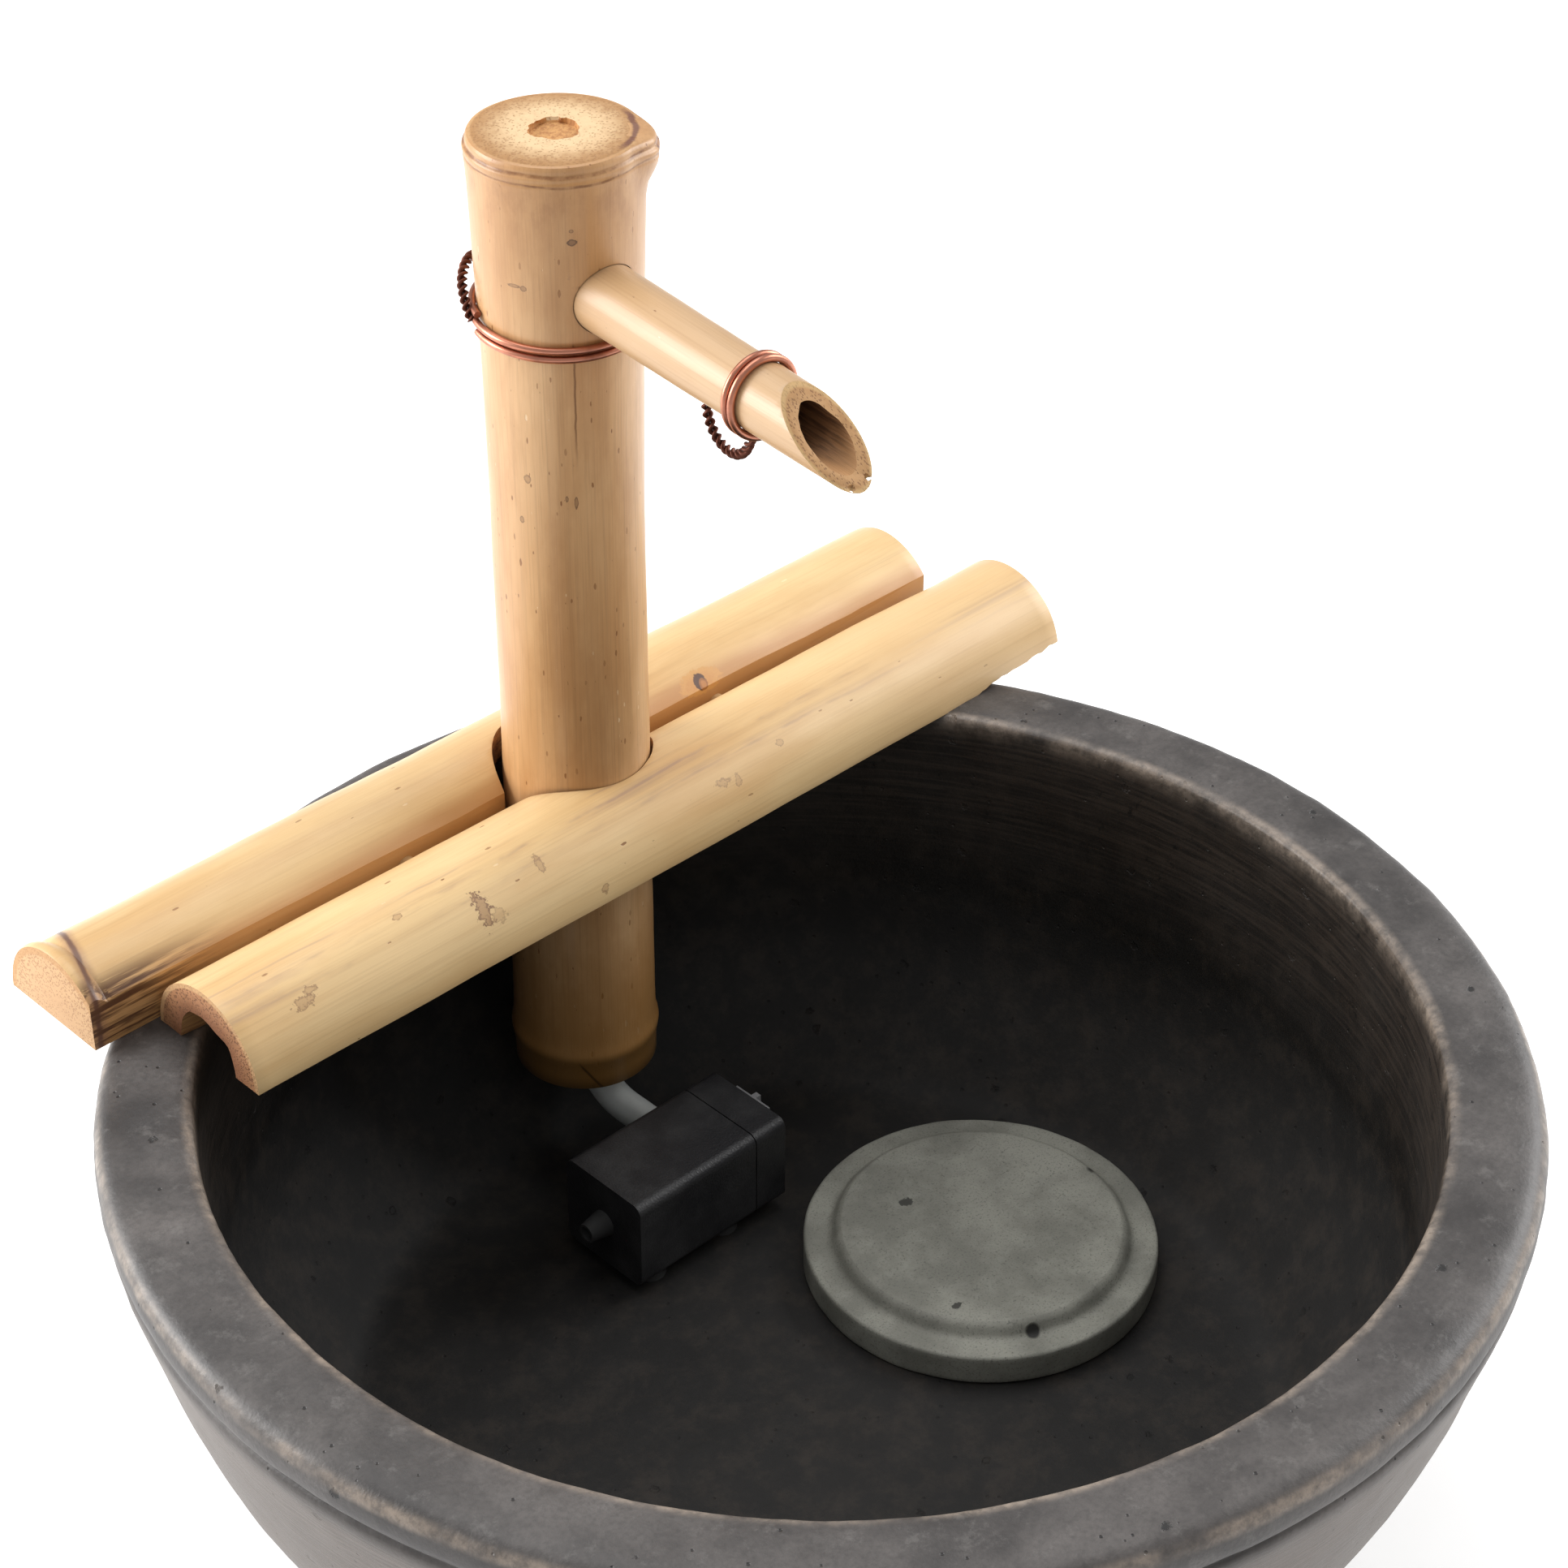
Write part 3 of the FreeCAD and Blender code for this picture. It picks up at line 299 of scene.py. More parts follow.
def vector_maths(operation, *terms):
    """A Vector Math node's two outputs, its vector and its number."""
    return put("ShaderNodeVectorMath", dict(enumerate(terms)), operation=operation)


def cells(place, scale):
    """How far a point lies from the middle of its cell, and three chances that the cell has drawn."""
    distance, tint, *_ = put("ShaderNodeTexVoronoi", {"Vector": place, "Scale": scale})
    return distance, put("ShaderNodeSeparateColor", {"Color": tint})


def flattened(place):
    """The place without its height."""
    return vector_maths("MULTIPLY", place, (1, 1, 0))[0]


stoneware, spot = new_finish("bowl_stoneware")
x, y, z = axes_of(spot)
radius = vector_maths("LENGTH", flattened(spot))[1]
clouds = noise(spot, 34, 7, 0.62)
fine = noise(spot, 620, 4, 0.65)
colour = blended(eased(clouds, 0.25, 0.8), (0.033, 0.029, 0.028), (0.125, 0.112, 0.106))
colour = blended(eased(fine, 0.35, 0.75) * 0.4, colour, (0.025, 0.023, 0.022))
from_pit, (chance, *_) = cells(spot, 150)
pit = (1 - eased(from_pit + (fine - 0.5) * 0.5, 0.13, 0.24)) * (chance > 0.93)
from_pinhole, (_, chance, _) = cells(spot, 430)
pit = maths("MAXIMUM", pit, (1 - eased(from_pinhole, 0.14, 0.26)) * (chance > 0.95))
colour = blended(pit, colour, (0.008, 0.007, 0.007))

mid_wall = maths("MINIMUM", z * 0.863 + 0.1177, 0.1642)
inside = (radius < mid_wall) * eased(z, 0.009, 0.013)
outside = 1 - inside
brushed = noise(stretched(spot, (1, 1, 26)), 34, 5, 0.65)
# Inside, the stoneware is painted nearly black: painted shade for the dark, water-filled hollow, less dark and
# browner high on the wall and dotted with dark pits.
painted_shade_inside = blended(eased(noise(spot, 90, 7, 0.72), 0.42, 0.68), (0.003, 0.0026, 0.0023), (0.02, 0.015, 0.011))
upper_wall = eased(z, 0.075, 0.12) * (eased(brushed, 0.4, 0.65) + 0.35)
painted_shade_inside = blended(upper_wall * 0.6, painted_shade_inside, (0.05, 0.037, 0.028))
spots = eased(noise(spot, 210, 5, 0.7), 0.6, 0.68)
painted_shade_inside = blended(spots * 0.8, painted_shade_inside, (0.003, 0.0025, 0.002))
colour = blended(inside * 0.94, colour, painted_shade_inside)

outer_wall = (1 - eased(z, 0.118, 0.128)) * outside
colour = blended(outer_wall * eased(brushed, 0.4, 0.75) * 0.5, colour, (0.028, 0.024, 0.021))
# The outer wall is lifted toward a light warm tan: a painted sheen, varied by the turning lines.
wander = noise(spot, 18) * 0.004
round_lines = put("ShaderNodeCombineXYZ", {"X": radius + wander, "Y": z + wander, "Z": x * 0.02})[0]
turned = noise(round_lines, 1100, 4, 0.65)
colour = blended(outer_wall * (eased(turned, 0.42, 0.75) * 0.22 + 0.45), colour, (0.215, 0.178, 0.152))

on_rim = eased(z, 0.127, 0.132) * outside
scuffs = eased(noise(spot, 120, 8, 0.78), 0.53, 0.67)
colour = blended(on_rim * scuffs * 0.3, colour, (0.2, 0.188, 0.178))
# Tan along the rim's inner and outer edges: real wear, with a painted highlight laid along it.
inner_edge = eased(radius, 0.163, 0.1641) * (1 - eased(radius, 0.165, 0.1678)) * eased(z, 0.13, 0.1385)
outer_edge = eased(radius, 0.1862, 0.1884) * eased(z, 0.1342, 0.1362) * (1 - eased(z, 0.1376, 0.1394))
patchy = eased(noise(spot, 46, 5, 0.65), 0.28, 0.66)
broken = eased(noise(spot, 260, 6, 0.7), 0.36, 0.62)
wear_and_highlight = maths("MAXIMUM", inner_edge, outer_edge) * patchy * (broken * 0.6 + 0.4)
colour = blended(wear_and_highlight * 0.75, colour, (0.38, 0.31, 0.25))

deep_inside = inside * (1 - eased(z, 0.065, 0.1))
roughness = maths("MAXIMUM", clouds * 0.3 + 0.3, deep_inside * 0.72) - wear_and_highlight * 0.12
relief = fine * 0.35 + clouds * 0.5 - pit + turned * outer_wall * 0.8
feed(stoneware, Base_Color=colour, Roughness=roughness, bump=(relief, 0.5, 0.0008))
bowl.data.materials.append(stoneware)
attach(bowl, "bowl")
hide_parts("bowl")

# Splash stone: a turned and honed stone disc with one step, which lies loose on the bowl's floor.
# Fine turning rings run round its top, and a few dark pores are left open in it.

def ease_edges(piece, width, segments, angle):
    """Bevels the edges that turn by more than the angle."""
    apply_modifier(piece, "BEVEL", width=width, segments=segments, limit_method="ANGLE",
                   angle_limit=math.radians(angle))


STONE_RADIUS = 0.052
STEP_HEIGHT = 0.01
GROOVE = 0.0008
GROOVE_DEPTH = 0.0003
stone_low, stone_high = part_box("splash_stone")
stone_centre = (stone_low + stone_high) / 2
start_fresh()
bpy.ops.mesh.primitive_cylinder_add(vertices=96, radius=STONE_RADIUS, depth=STEP_HEIGHT, end_fill_type="NGON",
                                    location=(stone_centre.x, stone_centre.y, stone_low.z + STEP_HEIGHT / 2))
stone = bpy.context.object
stone.name = "splash_disc"
bpy.ops.object.transform_apply()
for part in (stone.data.vertices, stone.data.edges):
    part.foreach_set("select", [False] * len(part))
stone.data.polygons.foreach_set("select", [face.normal.z > 0.9 for face in stone.data.polygons])
bpy.ops.object.mode_set(mode="EDIT")
bpy.ops.mesh.select_mode(type="FACE")
bpy.ops.mesh.inset(thickness=0.0078)
extrude(0, 0, 0.0036)
bpy.ops.transform.resize(value=(0.955, 0.955, 1))
bpy.ops.mesh.inset(thickness=0.0012)
bpy.ops.transform.translate(value=(0, 0, 0.0004))
for ring_width in (0.006, GROOVE, 0.009, GROOVE, 0.009):
    bpy.ops.mesh.inset(thickness=ring_width)
    if ring_width == GROOVE:
        bpy.ops.transform.translate(value=(0, 0, -GROOVE_DEPTH))
bpy.ops.mesh.inset(thickness=0.004)
ease_edges(stone, 0.0012, 3, 40)
subdivide(stone, 1)
roughen(stone, "stone_wear", 0.012, 0.0005)
smooth_piece(stone, 50)


def new_group(name, outputs, **inputs):
    """A shader node group, and what it is given by name; three numbers are a vector, four a colour."""
    group = bpy.data.node_groups.new(name, "ShaderNodeTree")
    for label, value in inputs.items():
        kind = {3: "Vector", 4: "Color"}[len(value)] if isinstance(value, tuple) else "Float"
        socket = group.interface.new_socket(label, in_out="INPUT", socket_type="NodeSocket" + kind)
        socket.default_value = value
    for label in outputs:
        kind = "NodeSocketColor" if label == "Color" else "NodeSocketFloat"
        group.interface.new_socket(label, in_out="OUTPUT", socket_type=kind)
    return group, {output.name: Value(output) for output in group.nodes.new("NodeGroupInput").outputs}


def close_group(group, **values):
    ending = group.nodes.new("NodeGroupOutput")
    for name, value in values.items():
        group.links.new(value.socket, ending.inputs[name])


scar_and_shade_group, given = new_group(
    "skin_scar_and_shade", ("Whole", "Rim"), Place=(0, 0, 0), Centre=(0, 0, 0), Size=(1, 1, 1), Ragged=0.6)
from_centre = vector_maths("SUBTRACT", given["Place"], given["Centre"])[0]
reach = vector_maths("LENGTH", vector_maths("DIVIDE", from_centre, given["Size"])[0])[1]
reach = reach + (noise(given["Place"], 520, 4, 0.7) - 0.5) * 2.6 * given["Ragged"]
whole = 1 - eased(reach, 0.8, 1)
close_group(scar_and_shade_group, Whole=whole, Rim=whole * eased(reach, 0.45, 0.8))


def scar_or_shade_marked(colour, spot, centre, size, ragged, inner, rim, strength=0.75):
    """The colour with one ragged mark painted over it, such as a torn scar, a dark pit and the painted shade in
    the spout's seam; centre and size are metres in the shared frame.
    """
    whole, edge = put("ShaderNodeGroup", {"Place": spot, "Centre": centre, "Size": size, "Ragged": ragged},
                      node_tree=scar_and_shade_group)
    return blended(edge * strength, blended(whole * strength, colour, inner), rim)


honed, spot = new_finish("honed_stone", Roughness=0.62)
speckle = noise(spot, 1500, 3, 0.7)
veins = noise(spot, 45, 6, 0.62)
colour = blended(eased(veins, 0.35, 0.65), (0.21, 0.21, 0.18), (0.33, 0.33, 0.285))
colour = blended(eased(speckle, 0.52, 0.72) * 0.8, colour, (0.1, 0.1, 0.088))
from_pore, (_, chance, _) = cells(spot, 62)
pore = (1 - eased(from_pore, 0.1, 0.16)) * (chance > 0.8)
colour = blended(pore, colour, (0.02, 0.02, 0.018))
for across, deep, width in ((-0.0087, 0.0222, 0.0026), (-0.03, -0.019, 0.0018)):
    colour = scar_or_shade_marked(colour, spot, (stone_centre.x + across, stone_centre.y + deep, stone_high.z),
                     (width, width * 0.7, width), 0.6, (0.03, 0.03, 0.026), (0.06, 0.06, 0.052), 0.9)
feed(honed, Base_Color=colour, bump=(speckle * 0.4 - pore, 0.5, 0.0006))
stone.data.materials.append(honed)
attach(stone, "stone")
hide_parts("splash_stone")

# Front rail: the front half of a bamboo culm split lengthwise, laid round side up across the rim.
# Its ends are sawn square, its hollow shows at the left end, and a round notch is cut for the post.

def edit_points(piece, chosen):
    """Opens the piece in edit mode with the chosen points selected."""
    edit(piece)
    bpy.ops.mesh.select_all(action="DESELECT")
    bpy.ops.object.mode_set(mode="OBJECT")
    piece.data.vertices.foreach_set("select", [bool(chosen(point.co)) for point in piece.data.vertices])
    bpy.ops.object.mode_set(mode="EDIT")


def turned_culm(name, radius, start, length, rounds, facets=72):
    """A solid culm along +Z from start, with its length divided so that it can be shaped."""
    culm = start_ring(name, facets, radius, (0, 0, start))
    for step in range(rounds):
        extrude(0, 0, length / rounds)
    close_ends()
    return culm


def swell(culm, height, reach, factor):
    """Widens or narrows the culm about one height, fading out within reach."""
    take(culm)
    levels = {round(point.co.z, 5) for point in culm.data.vertices if abs(point.co.z - height) < reach}
    for level in sorted(levels):
        share = 0.5 + 0.5 * math.cos(math.pi * min(abs(level - height) / reach, 1))
        widened = 1 + (factor - 1) * share
        edit_points(culm, lambda point: abs(point.z - level) < 0.00002)
        bpy.ops.transform.resize(value=(widened, widened, 1))


def carve(piece, cutter):
    apply_modifier(piece, "BOOLEAN", object=cutter, operation="DIFFERENCE", solver="EXACT")
    bpy.data.objects.remove(cutter)


def lay_down(piece, sideways, along, origin):
    """Turns a piece made upright so that its +X runs sideways and its +Z along, from origin."""
    along = Vector(along).normalized()
    sideways = Vector(sideways).normalized()
    ways = Matrix((sideways, along.cross(sideways), along)).transposed().to_4x4()
    piece.matrix_world = Matrix.Translation(origin) @ ways
    take(piece)
    bpy.ops.object.transform_apply()


def drill(piece, name, size, sideways, along, origin, lumps=None):
    """Cuts a hole; size is the cutter's radius, start, length, rounds and facets, lumps its unevenness."""
    cutter = turned_culm(name, *size)
    lay_down(cutter, sideways, along, origin)
    if lumps:
        roughen(cutter, name + "_lumps", *lumps)
    carve(piece, cutter)


def saw(piece, place, waste):
    """Cuts the piece flat through place and drops the side that waste points to."""
    edit(piece)
    bpy.ops.mesh.bisect(plane_co=place, plane_no=waste, use_fill=True, clear_outer=True)


ALONG_RAILS = (1, 0, 0)
ACROSS_RAILS = (0, 1, 0)
UPRIGHT = (0, 0, 1)
RAIL_SEAT = 0.14
RAIL_RADIUS = 0.0216
RAIL_HOLLOW = 0.0126
RAIL_SKIN = 0.0185
NOTCH_RADIUS = 0.023
HOLLOW_MIDDLE = RAIL_SEAT - 0.0006
front_y, rear_y = 0.1104, 0.1496
front_origin = (0, front_y, RAIL_SEAT)
rear_origin = (0, rear_y, RAIL_SEAT)
post_place = Vector((0.0275, 0.128, 0))
notch_place = (post_place.x, 0.1296, 0)
notch = ("notch", (NOTCH_RADIUS, 0.125, 0.05, 12, 96), ALONG_RAILS, UPRIGHT, notch_place, (0.006, 0.0003))

front_rail = turned_culm("front_half_culm", RAIL_RADIUS, -0.117, 0.306, 68)
swell(front_rail, 0.06, 0.045, 1.012)
swell(front_rail, 0.175, 0.03, 0.992)
lay_down(front_rail, ACROSS_RAILS, ALONG_RAILS, front_origin)
roughen(front_rail, "front_rail_waves", 0.055, 0.0011)
saw(front_rail, (0, 0, RAIL_SEAT), (0, 0, -1))
drill(front_rail, "front_hollow", (RAIL_HOLLOW, -0.125, 0.322, 40, 48), ACROSS_RAILS, ALONG_RAILS,
      (0, front_y, HOLLOW_MIDDLE), (0.011, 0.0046))
drill(front_rail, *notch)
drill(front_rail, "torn_edge", (0.0042, 0, 0.05, 40, 32), ACROSS_RAILS, (1, 0, 0.085),
      (0.147, front_y - RAIL_RADIUS + 0.0002, RAIL_SEAT - 0.004), (0.007, 0.0042))
ease_edges(front_rail, 0.0005, 2, 50)
smooth_piece(front_rail, 35)

skin_group, given = new_group(
    "bamboo_skin", ("Color", "Roughness", "Height"), Place=(0, 0, 0), Pale=(0.8, 0.57, 0.29, 1),
    Honey=(0.64, 0.37, 0.14, 1), Warmth=0.5, Streaks=0.3, Flecks=0.6, Grain=1)
place = given["Place"]
fibre = noise(stretched(place, (1, 1, 0.012)), 1700, 2, 0.6)
bands = noise(stretched(place, (1, 1, 0.02)), 260, 3, 0.55)
clouding = noise(stretched(place, (1, 1, 0.22)), 42, 5, 0.6)
colour = blended(eased(clouding, 0.25, 0.8) + (given["Warmth"] - 0.5), given["Pale"], given["Honey"])
colour = blended(eased(bands, 0.5, 0.75) * 0.22 * given["Grain"], colour, (0.4, 0.2, 0.075))
colour = blended(eased(fibre, 0.45, 0.75) * 0.2 * given["Grain"], colour, (0.33, 0.17, 0.07))
grey_streak = noise(stretched(place, (1, 1, 0.02), (0.4, 0.1, 0.3)), 95, 3, 0.5)
colour = blended(eased(grey_streak, 0.56, 0.74) * given["Streaks"], colour, (0.36, 0.27, 0.24))
to_fleck, (chance, size_chance, tint_chance) = cells(stretched(place, (1, 1, 0.34)), 600)
to_fleck = to_fleck + (noise(place, 900, 3, 0.7) - 0.5) * 0.24
fleck = 1 - eased(to_fleck - (maths("POWER", size_chance, 3) * 0.2 + 0.03), -0.02, 0.05)
fleck = fleck * (chance < given["Flecks"] * 0.32) * (tint_chance * 0.6 + 0.35)
colour = blended(fleck, colour, blended(tint_chance < 0.15, (0.24, 0.09, 0.02), (0.95, 0.78, 0.52)))
to_scar, (_, _, chance) = cells(stretched(place, (1, 1, 0.6)), 52)
to_scar = to_scar + noise(place, 620, 3, 0.6) * 0.35
scar = (1 - eased(to_scar, 0.3, 0.36)) * (chance > 0.93)
colour = blended(scar * 0.4, colour, (0.36, 0.2, 0.11))
close_group(skin_group, Color=colour, Roughness=clouding * 0.2 + 0.27,
            Height=fibre * 0.3 + bands * 0.6 - fleck)

cut_group, given = new_group(
    "bamboo_end_grain", ("Color", "Height"), Place=(0, 0, 0), Inner=(0.74, 0.55, 0.34, 1),
    Outer=(0.5, 0.3, 0.15, 1), Dots=(0.25, 0.13, 0.06, 1), Rind=(0.66, 0.42, 0.2, 1), Hollow=0.008,
    Girth=0.021, Fineness=1050)
flat_place = flattened(given["Place"])
from_axis = vector_maths("LENGTH", flat_place)[1]
outward = put("ShaderNodeMapRange", {"Value": from_axis, "From Min": given["Hollow"],
                                     "From Max": given["Girth"]})[0]
to_bundle, _ = cells(flat_place, given["Fineness"])
dot = 1 - eased(to_bundle - (outward * 0.2 + 0.24), -0.06, 0.06)
rough_cut = noise(given["Place"], 300, 4, 0.7)
colour = blended(eased(outward + (rough_cut - 0.5) * 0.5, 0.05, 0.95), given["Inner"], given["Outer"])
colour = blended(dot * 0.6, colour, given["Dots"])
colour = blended(eased(rough_cut, 0.45, 0.8) * 0.25, colour, given["Dots"])
rind = eased(from_axis - given["Girth"], -0.0013, -0.0006)
colour = blended(rind * 0.7, colour, given["Rind"])
close_group(cut_group, Color=colour, Height=rough_cut - dot * 0.6)

split_group, given = new_group(
    "bamboo_fibres", ("Color", "Height"), Place=(0, 0, 0), Tone=(0.5, 0.27, 0.1, 1), Shade=(0.26, 0.11, 0.04, 1))
strands = noise(stretched(given["Place"], (1, 1, 0.03)), 900, 4, 0.65)
patches = noise(stretched(given["Place"], (1, 1, 0.25)), 60, 5, 0.65)
colour = blended(eased(strands, 0.38, 0.66), given["Tone"], given["Shade"])
colour = blended(eased(patches, 0.5, 0.68) * 0.7, colour, (0.1, 0.05, 0.025))
close_group(split_group, Color=colour, Height=strands)


def measured(spot, origin, *ways):
    """How far the spot lies from origin along each of the ways."""
    from_origin = vector_maths("SUBTRACT", spot, origin)[0]
    return [vector_maths("DOT_PRODUCT", from_origin, way)[1] for way in ways]


def culm_axes(spot, along, origin):
    """The spot seen from the culm, whose axis is Z and starts at origin."""
    along = Vector(along).normalized()
    across = along.orthogonal().normalized()
    x, y, z = measured(spot, origin, across, along.cross(across), along)
    return put("ShaderNodeCombineXYZ", {"X": x, "Y": y, "Z": z})[0]


SKIN = (skin_group, 0.35, 0.0004, {"Specular_IOR_Level": 0.42, "Coat_Weight": 0.36, "Coat_Roughness": 0.4})
END = (cut_group, 0.5, 0.0005, {"Roughness": 0.72})
SPLIT = (split_group, 0.6, 0.0006, {"Roughness": 0.7})


def bamboo(name, kind, along, origin, **amounts):
    """A finish for a culm's skin, its sawn end or a split face; with its spot, place and colour."""
    group, strength, distance, shader = kind
    material, spot = new_finish(name, **shader)
    place = culm_axes(spot, along, origin)
    colour, *roughness, height = put("ShaderNodeGroup", {"Place": place, **amounts}, node_tree=group)
    feed(material, bump=(height, strength, distance), Base_Color=colour)
    for value in roughness:
        feed(material, Roughness=value)
    return material, spot, place, colour


def thin_line(value, middle, half_width):
    """1 where the value is at the middle, 0 from half_width away."""
    return 1 - eased(abs(value - middle), half_width * 0.3, half_width)


def give_finishes(piece, finishes, choose):
    """Gives each face the finish whose place in the list choose returns."""
    piece.data.materials.clear()
    for finish in finishes:
        piece.data.materials.append(finish)
    piece.data.polygons.foreach_set("material_index", [choose(face) for face in piece.data.polygons])
    piece.data.update()


def rail_face(face, axis_y):
    """0 for the skin, 1 for a sawn end, 2 for a face along the fibres."""
    if abs(face.normal.x) > 0.9:
        return 1
    aside, up = face.center.y - axis_y, face.center.z - RAIL_SEAT
    off_axis = math.hypot(aside, up)
    outward = face.normal.y * aside + face.normal.z * up
    return 0 if off_axis > RAIL_SKIN and outward > 0.6 * off_axis else 2


front_skin, spot, place, colour = bamboo(
    "front_rail_skin", SKIN, ALONG_RAILS, front_origin, Warmth=0.3, Streaks=0.85, Flecks=0.3, Grain=0.7)
far_end = eased(axes_of(place)[2], 0.06, 0.15)
colour = blended(far_end * 0.32, colour, (0.56, 0.34, 0.17))
drift = (noise(place, 30, 4) - 0.5) * 0.003
fading = eased(noise(stretched(place, (1, 1, 0.25)), 90, 4, 0.65), 0.4, 0.6) * (1 - far_end * 0.75)
for turn, half_width, strength in (
        (20, 0.0026, 0.3), (19, 0.0007, 0.5), (8, 0.0005, 0.35), (33, 0.0022, 0.26), (34, 0.0006, 0.35)):
    angle = math.radians(turn)
    aside, outward = measured(spot, front_origin, (0, math.cos(angle), math.sin(angle)),
                            (0, -math.sin(angle), math.cos(angle)))
    line = thin_line(aside + drift, 0, half_width) * (outward > 0.01)
    colour = blended(line * fading * strength, colour, (0.36, 0.22, 0.16))
for x, y, z, long, wide, strength in (
        (-0.0355, 0.0945, 0.1545, 0.0026, 0.0056, 0.8), (-0.0318, 0.0925, 0.152, 0.003, 0.002, 0.3),
        (-0.0129, 0.0972, 0.1571, 0.0012, 0.003, 0.5), (0.0034, 0.0893, 0.1446, 0.0017, 0.0013, 0.5),
        (0.0527, 0.0941, 0.1541, 0.003, 0.0013, 0.4), (0.058, 0.093, 0.153, 0.001, 0.0022, 0.4),
        (-0.0957, 0.0953, 0.1555, 0.004, 0.0018, 0.5), (-0.0925, 0.097, 0.1569, 0.0022, 0.0012, 0.5),
        (-0.0585, 0.1024, 0.16, 0.0016, 0.0008, 0.5), (0.0767, 0.0958, 0.1559, 0.0016, 0.001, 0.4)):
    colour = scar_or_shade_marked(colour, spot, (x, y, z), (long, wide, wide), 1.2, (0.46, 0.27, 0.13), (0.2, 0.1, 0.055),
                     strength)
feed(front_skin, Base_Color=colour)
front_end, *_ = bamboo(
    "front_rail_end", END, ALONG_RAILS, front_origin, Inner=(0.25, 0.1, 0.042), Outer=(0.42, 0.2, 0.09),
    Dots=(0.09, 0.034, 0.014), Rind=(0.62, 0.38, 0.18), Hollow=0.012, Fineness=1250)
front_split, *_ = bamboo(
    "front_rail_split", SPLIT, ALONG_RAILS, front_origin, Tone=(0.5, 0.27, 0.1), Shade=(0.26, 0.11, 0.04))
give_finishes(front_rail, [front_skin, front_end, front_split], lambda face: rail_face(face, front_y))
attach(front_rail, "base")
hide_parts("front_rail")

# Rear rail: the other half culm, trimmed along its seam so that the post fits between the two.
# Its left end is sawn just outside a node, so it ends in a solid face behind the node's ridge.

REAR_SEAM = 0.1332
rear_rail = turned_culm("rear_half_culm", RAIL_RADIUS, -0.137, 0.312, 78)
for level in (-0.1362, -0.1354, -0.1346, -0.1338, -0.1322, -0.1314, -0.1306, -0.1298):
    bpy.ops.mesh.select_all(action="SELECT")
    bpy.ops.mesh.bisect(plane_co=(0, 0, level), plane_no=UPRIGHT)
swell(rear_rail, -0.1352, 0.0038, 1.055)
swell(rear_rail, -0.1314, 0.0014, 0.975)
swell(rear_rail, 0.085, 0.05, 1.01)
lay_down(rear_rail, ACROSS_RAILS, ALONG_RAILS, rear_origin)
roughen(rear_rail, "rear_rail_waves", 0.05, 0.0012)
saw(rear_rail, (0, 0, RAIL_SEAT), (0, 0, -1))
saw(rear_rail, (0, REAR_SEAM, 0), (0, -1, 0))
drill(rear_rail, "rear_hollow", (RAIL_HOLLOW, -0.127, 0.31, 40, 48), ACROSS_RAILS, ALONG_RAILS,
      (0, rear_y, HOLLOW_MIDDLE), (0.012, 0.002))
drill(rear_rail, *notch)
ease_edges(rear_rail, 0.0005, 2, 50)
smooth_piece(rear_rail, 35)

rear_skin, spot, place, colour = bamboo(
    "rear_rail_skin", SKIN, ALONG_RAILS, rear_origin, Pale=(0.76, 0.54, 0.275), Honey=(0.6, 0.35, 0.135),
    Warmth=0.38, Streaks=0.15, Flecks=0.25, Grain=0.6)
x, y, z = axes_of(spot)
shifts = noise(stretched(place, (1, 1, 0.12)), 70, 4, 0.6)
by_seam = 1 - eased(y - shifts * 0.008, 0.1288, 0.1345)
colour = blended(by_seam * 0.65, colour, (0.42, 0.18, 0.05))
across_cut = x - (y - REAR_SEAM) * 0.3
from_node = abs(across_cut + noise(place, 150, 4) * 0.0014 + 0.1343)
# A darker band on both sides of the node line.
darker_by_node = 1 - eased(from_node, 0.0008, 0.0034)
colour = blended(darker_by_node * 0.5, colour, (0.3, 0.15, 0.09))
node_line = 1 - eased(from_node, 0.0003, 0.0013)
colour = blended(node_line * 0.85, colour, (0.11, 0.045, 0.035))
torn_fibres = eased(noise(stretched(place, (1, 1, 0.05)), 420, 4, 0.7), 0.4, 0.54)
by_left = (1 - eased(x, -0.125, -0.085)) * (1 - eased(y, 0.134, 0.14))
colour = blended(by_left * torn_fibres, colour, (0.1, 0.04, 0.016))
knot = Vector((0.0818, 0.1349, 0.1558))
knot_heart = knot + Vector((0.0007, -0.0008, -0.0008))
for centre, long, wide, ragged, inner, rim, strength in (
        (knot, 0.0085, 0.0042, 0.45, (0.6, 0.3, 0.085), (0.62, 0.35, 0.12), 0.65),
        (knot, 0.0024, 0.0029, 0.25, (0.07, 0.03, 0.02), (0.1, 0.045, 0.025), 0.95),
        (knot_heart, 0.0017, 0.002, 0.25, (0.5, 0.22, 0.06), (0.3, 0.12, 0.035), 0.9)):
    colour = scar_or_shade_marked(colour, spot, centre, (long, wide, wide), ragged, inner, rim, strength)
feed(rear_skin, Base_Color=colour)
rear_end, *_ = bamboo(
    "rear_rail_end", END, ALONG_RAILS, rear_origin, Inner=(0.58, 0.35, 0.18), Outer=(0.6, 0.37, 0.19),
    Dots=(0.33, 0.15, 0.06), Rind=(0.5, 0.27, 0.11), Hollow=0.004, Fineness=1300)
rear_split, *_ = bamboo(
    "rear_rail_split", SPLIT, ALONG_RAILS, rear_origin, Tone=(0.42, 0.2, 0.07), Shade=(0.14, 0.055, 0.02))
give_finishes(rear_rail, [rear_skin, rear_end, rear_split], lambda face: rail_face(face, rear_y))
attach(rear_rail, "base")
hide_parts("rear_rail")

# Rail dowels: two bamboo pins, pushed across the seam into both half culms, which hold them together.
# They sit wholly inside the rails and keep their CAD shape, with the fibres running along each pin.

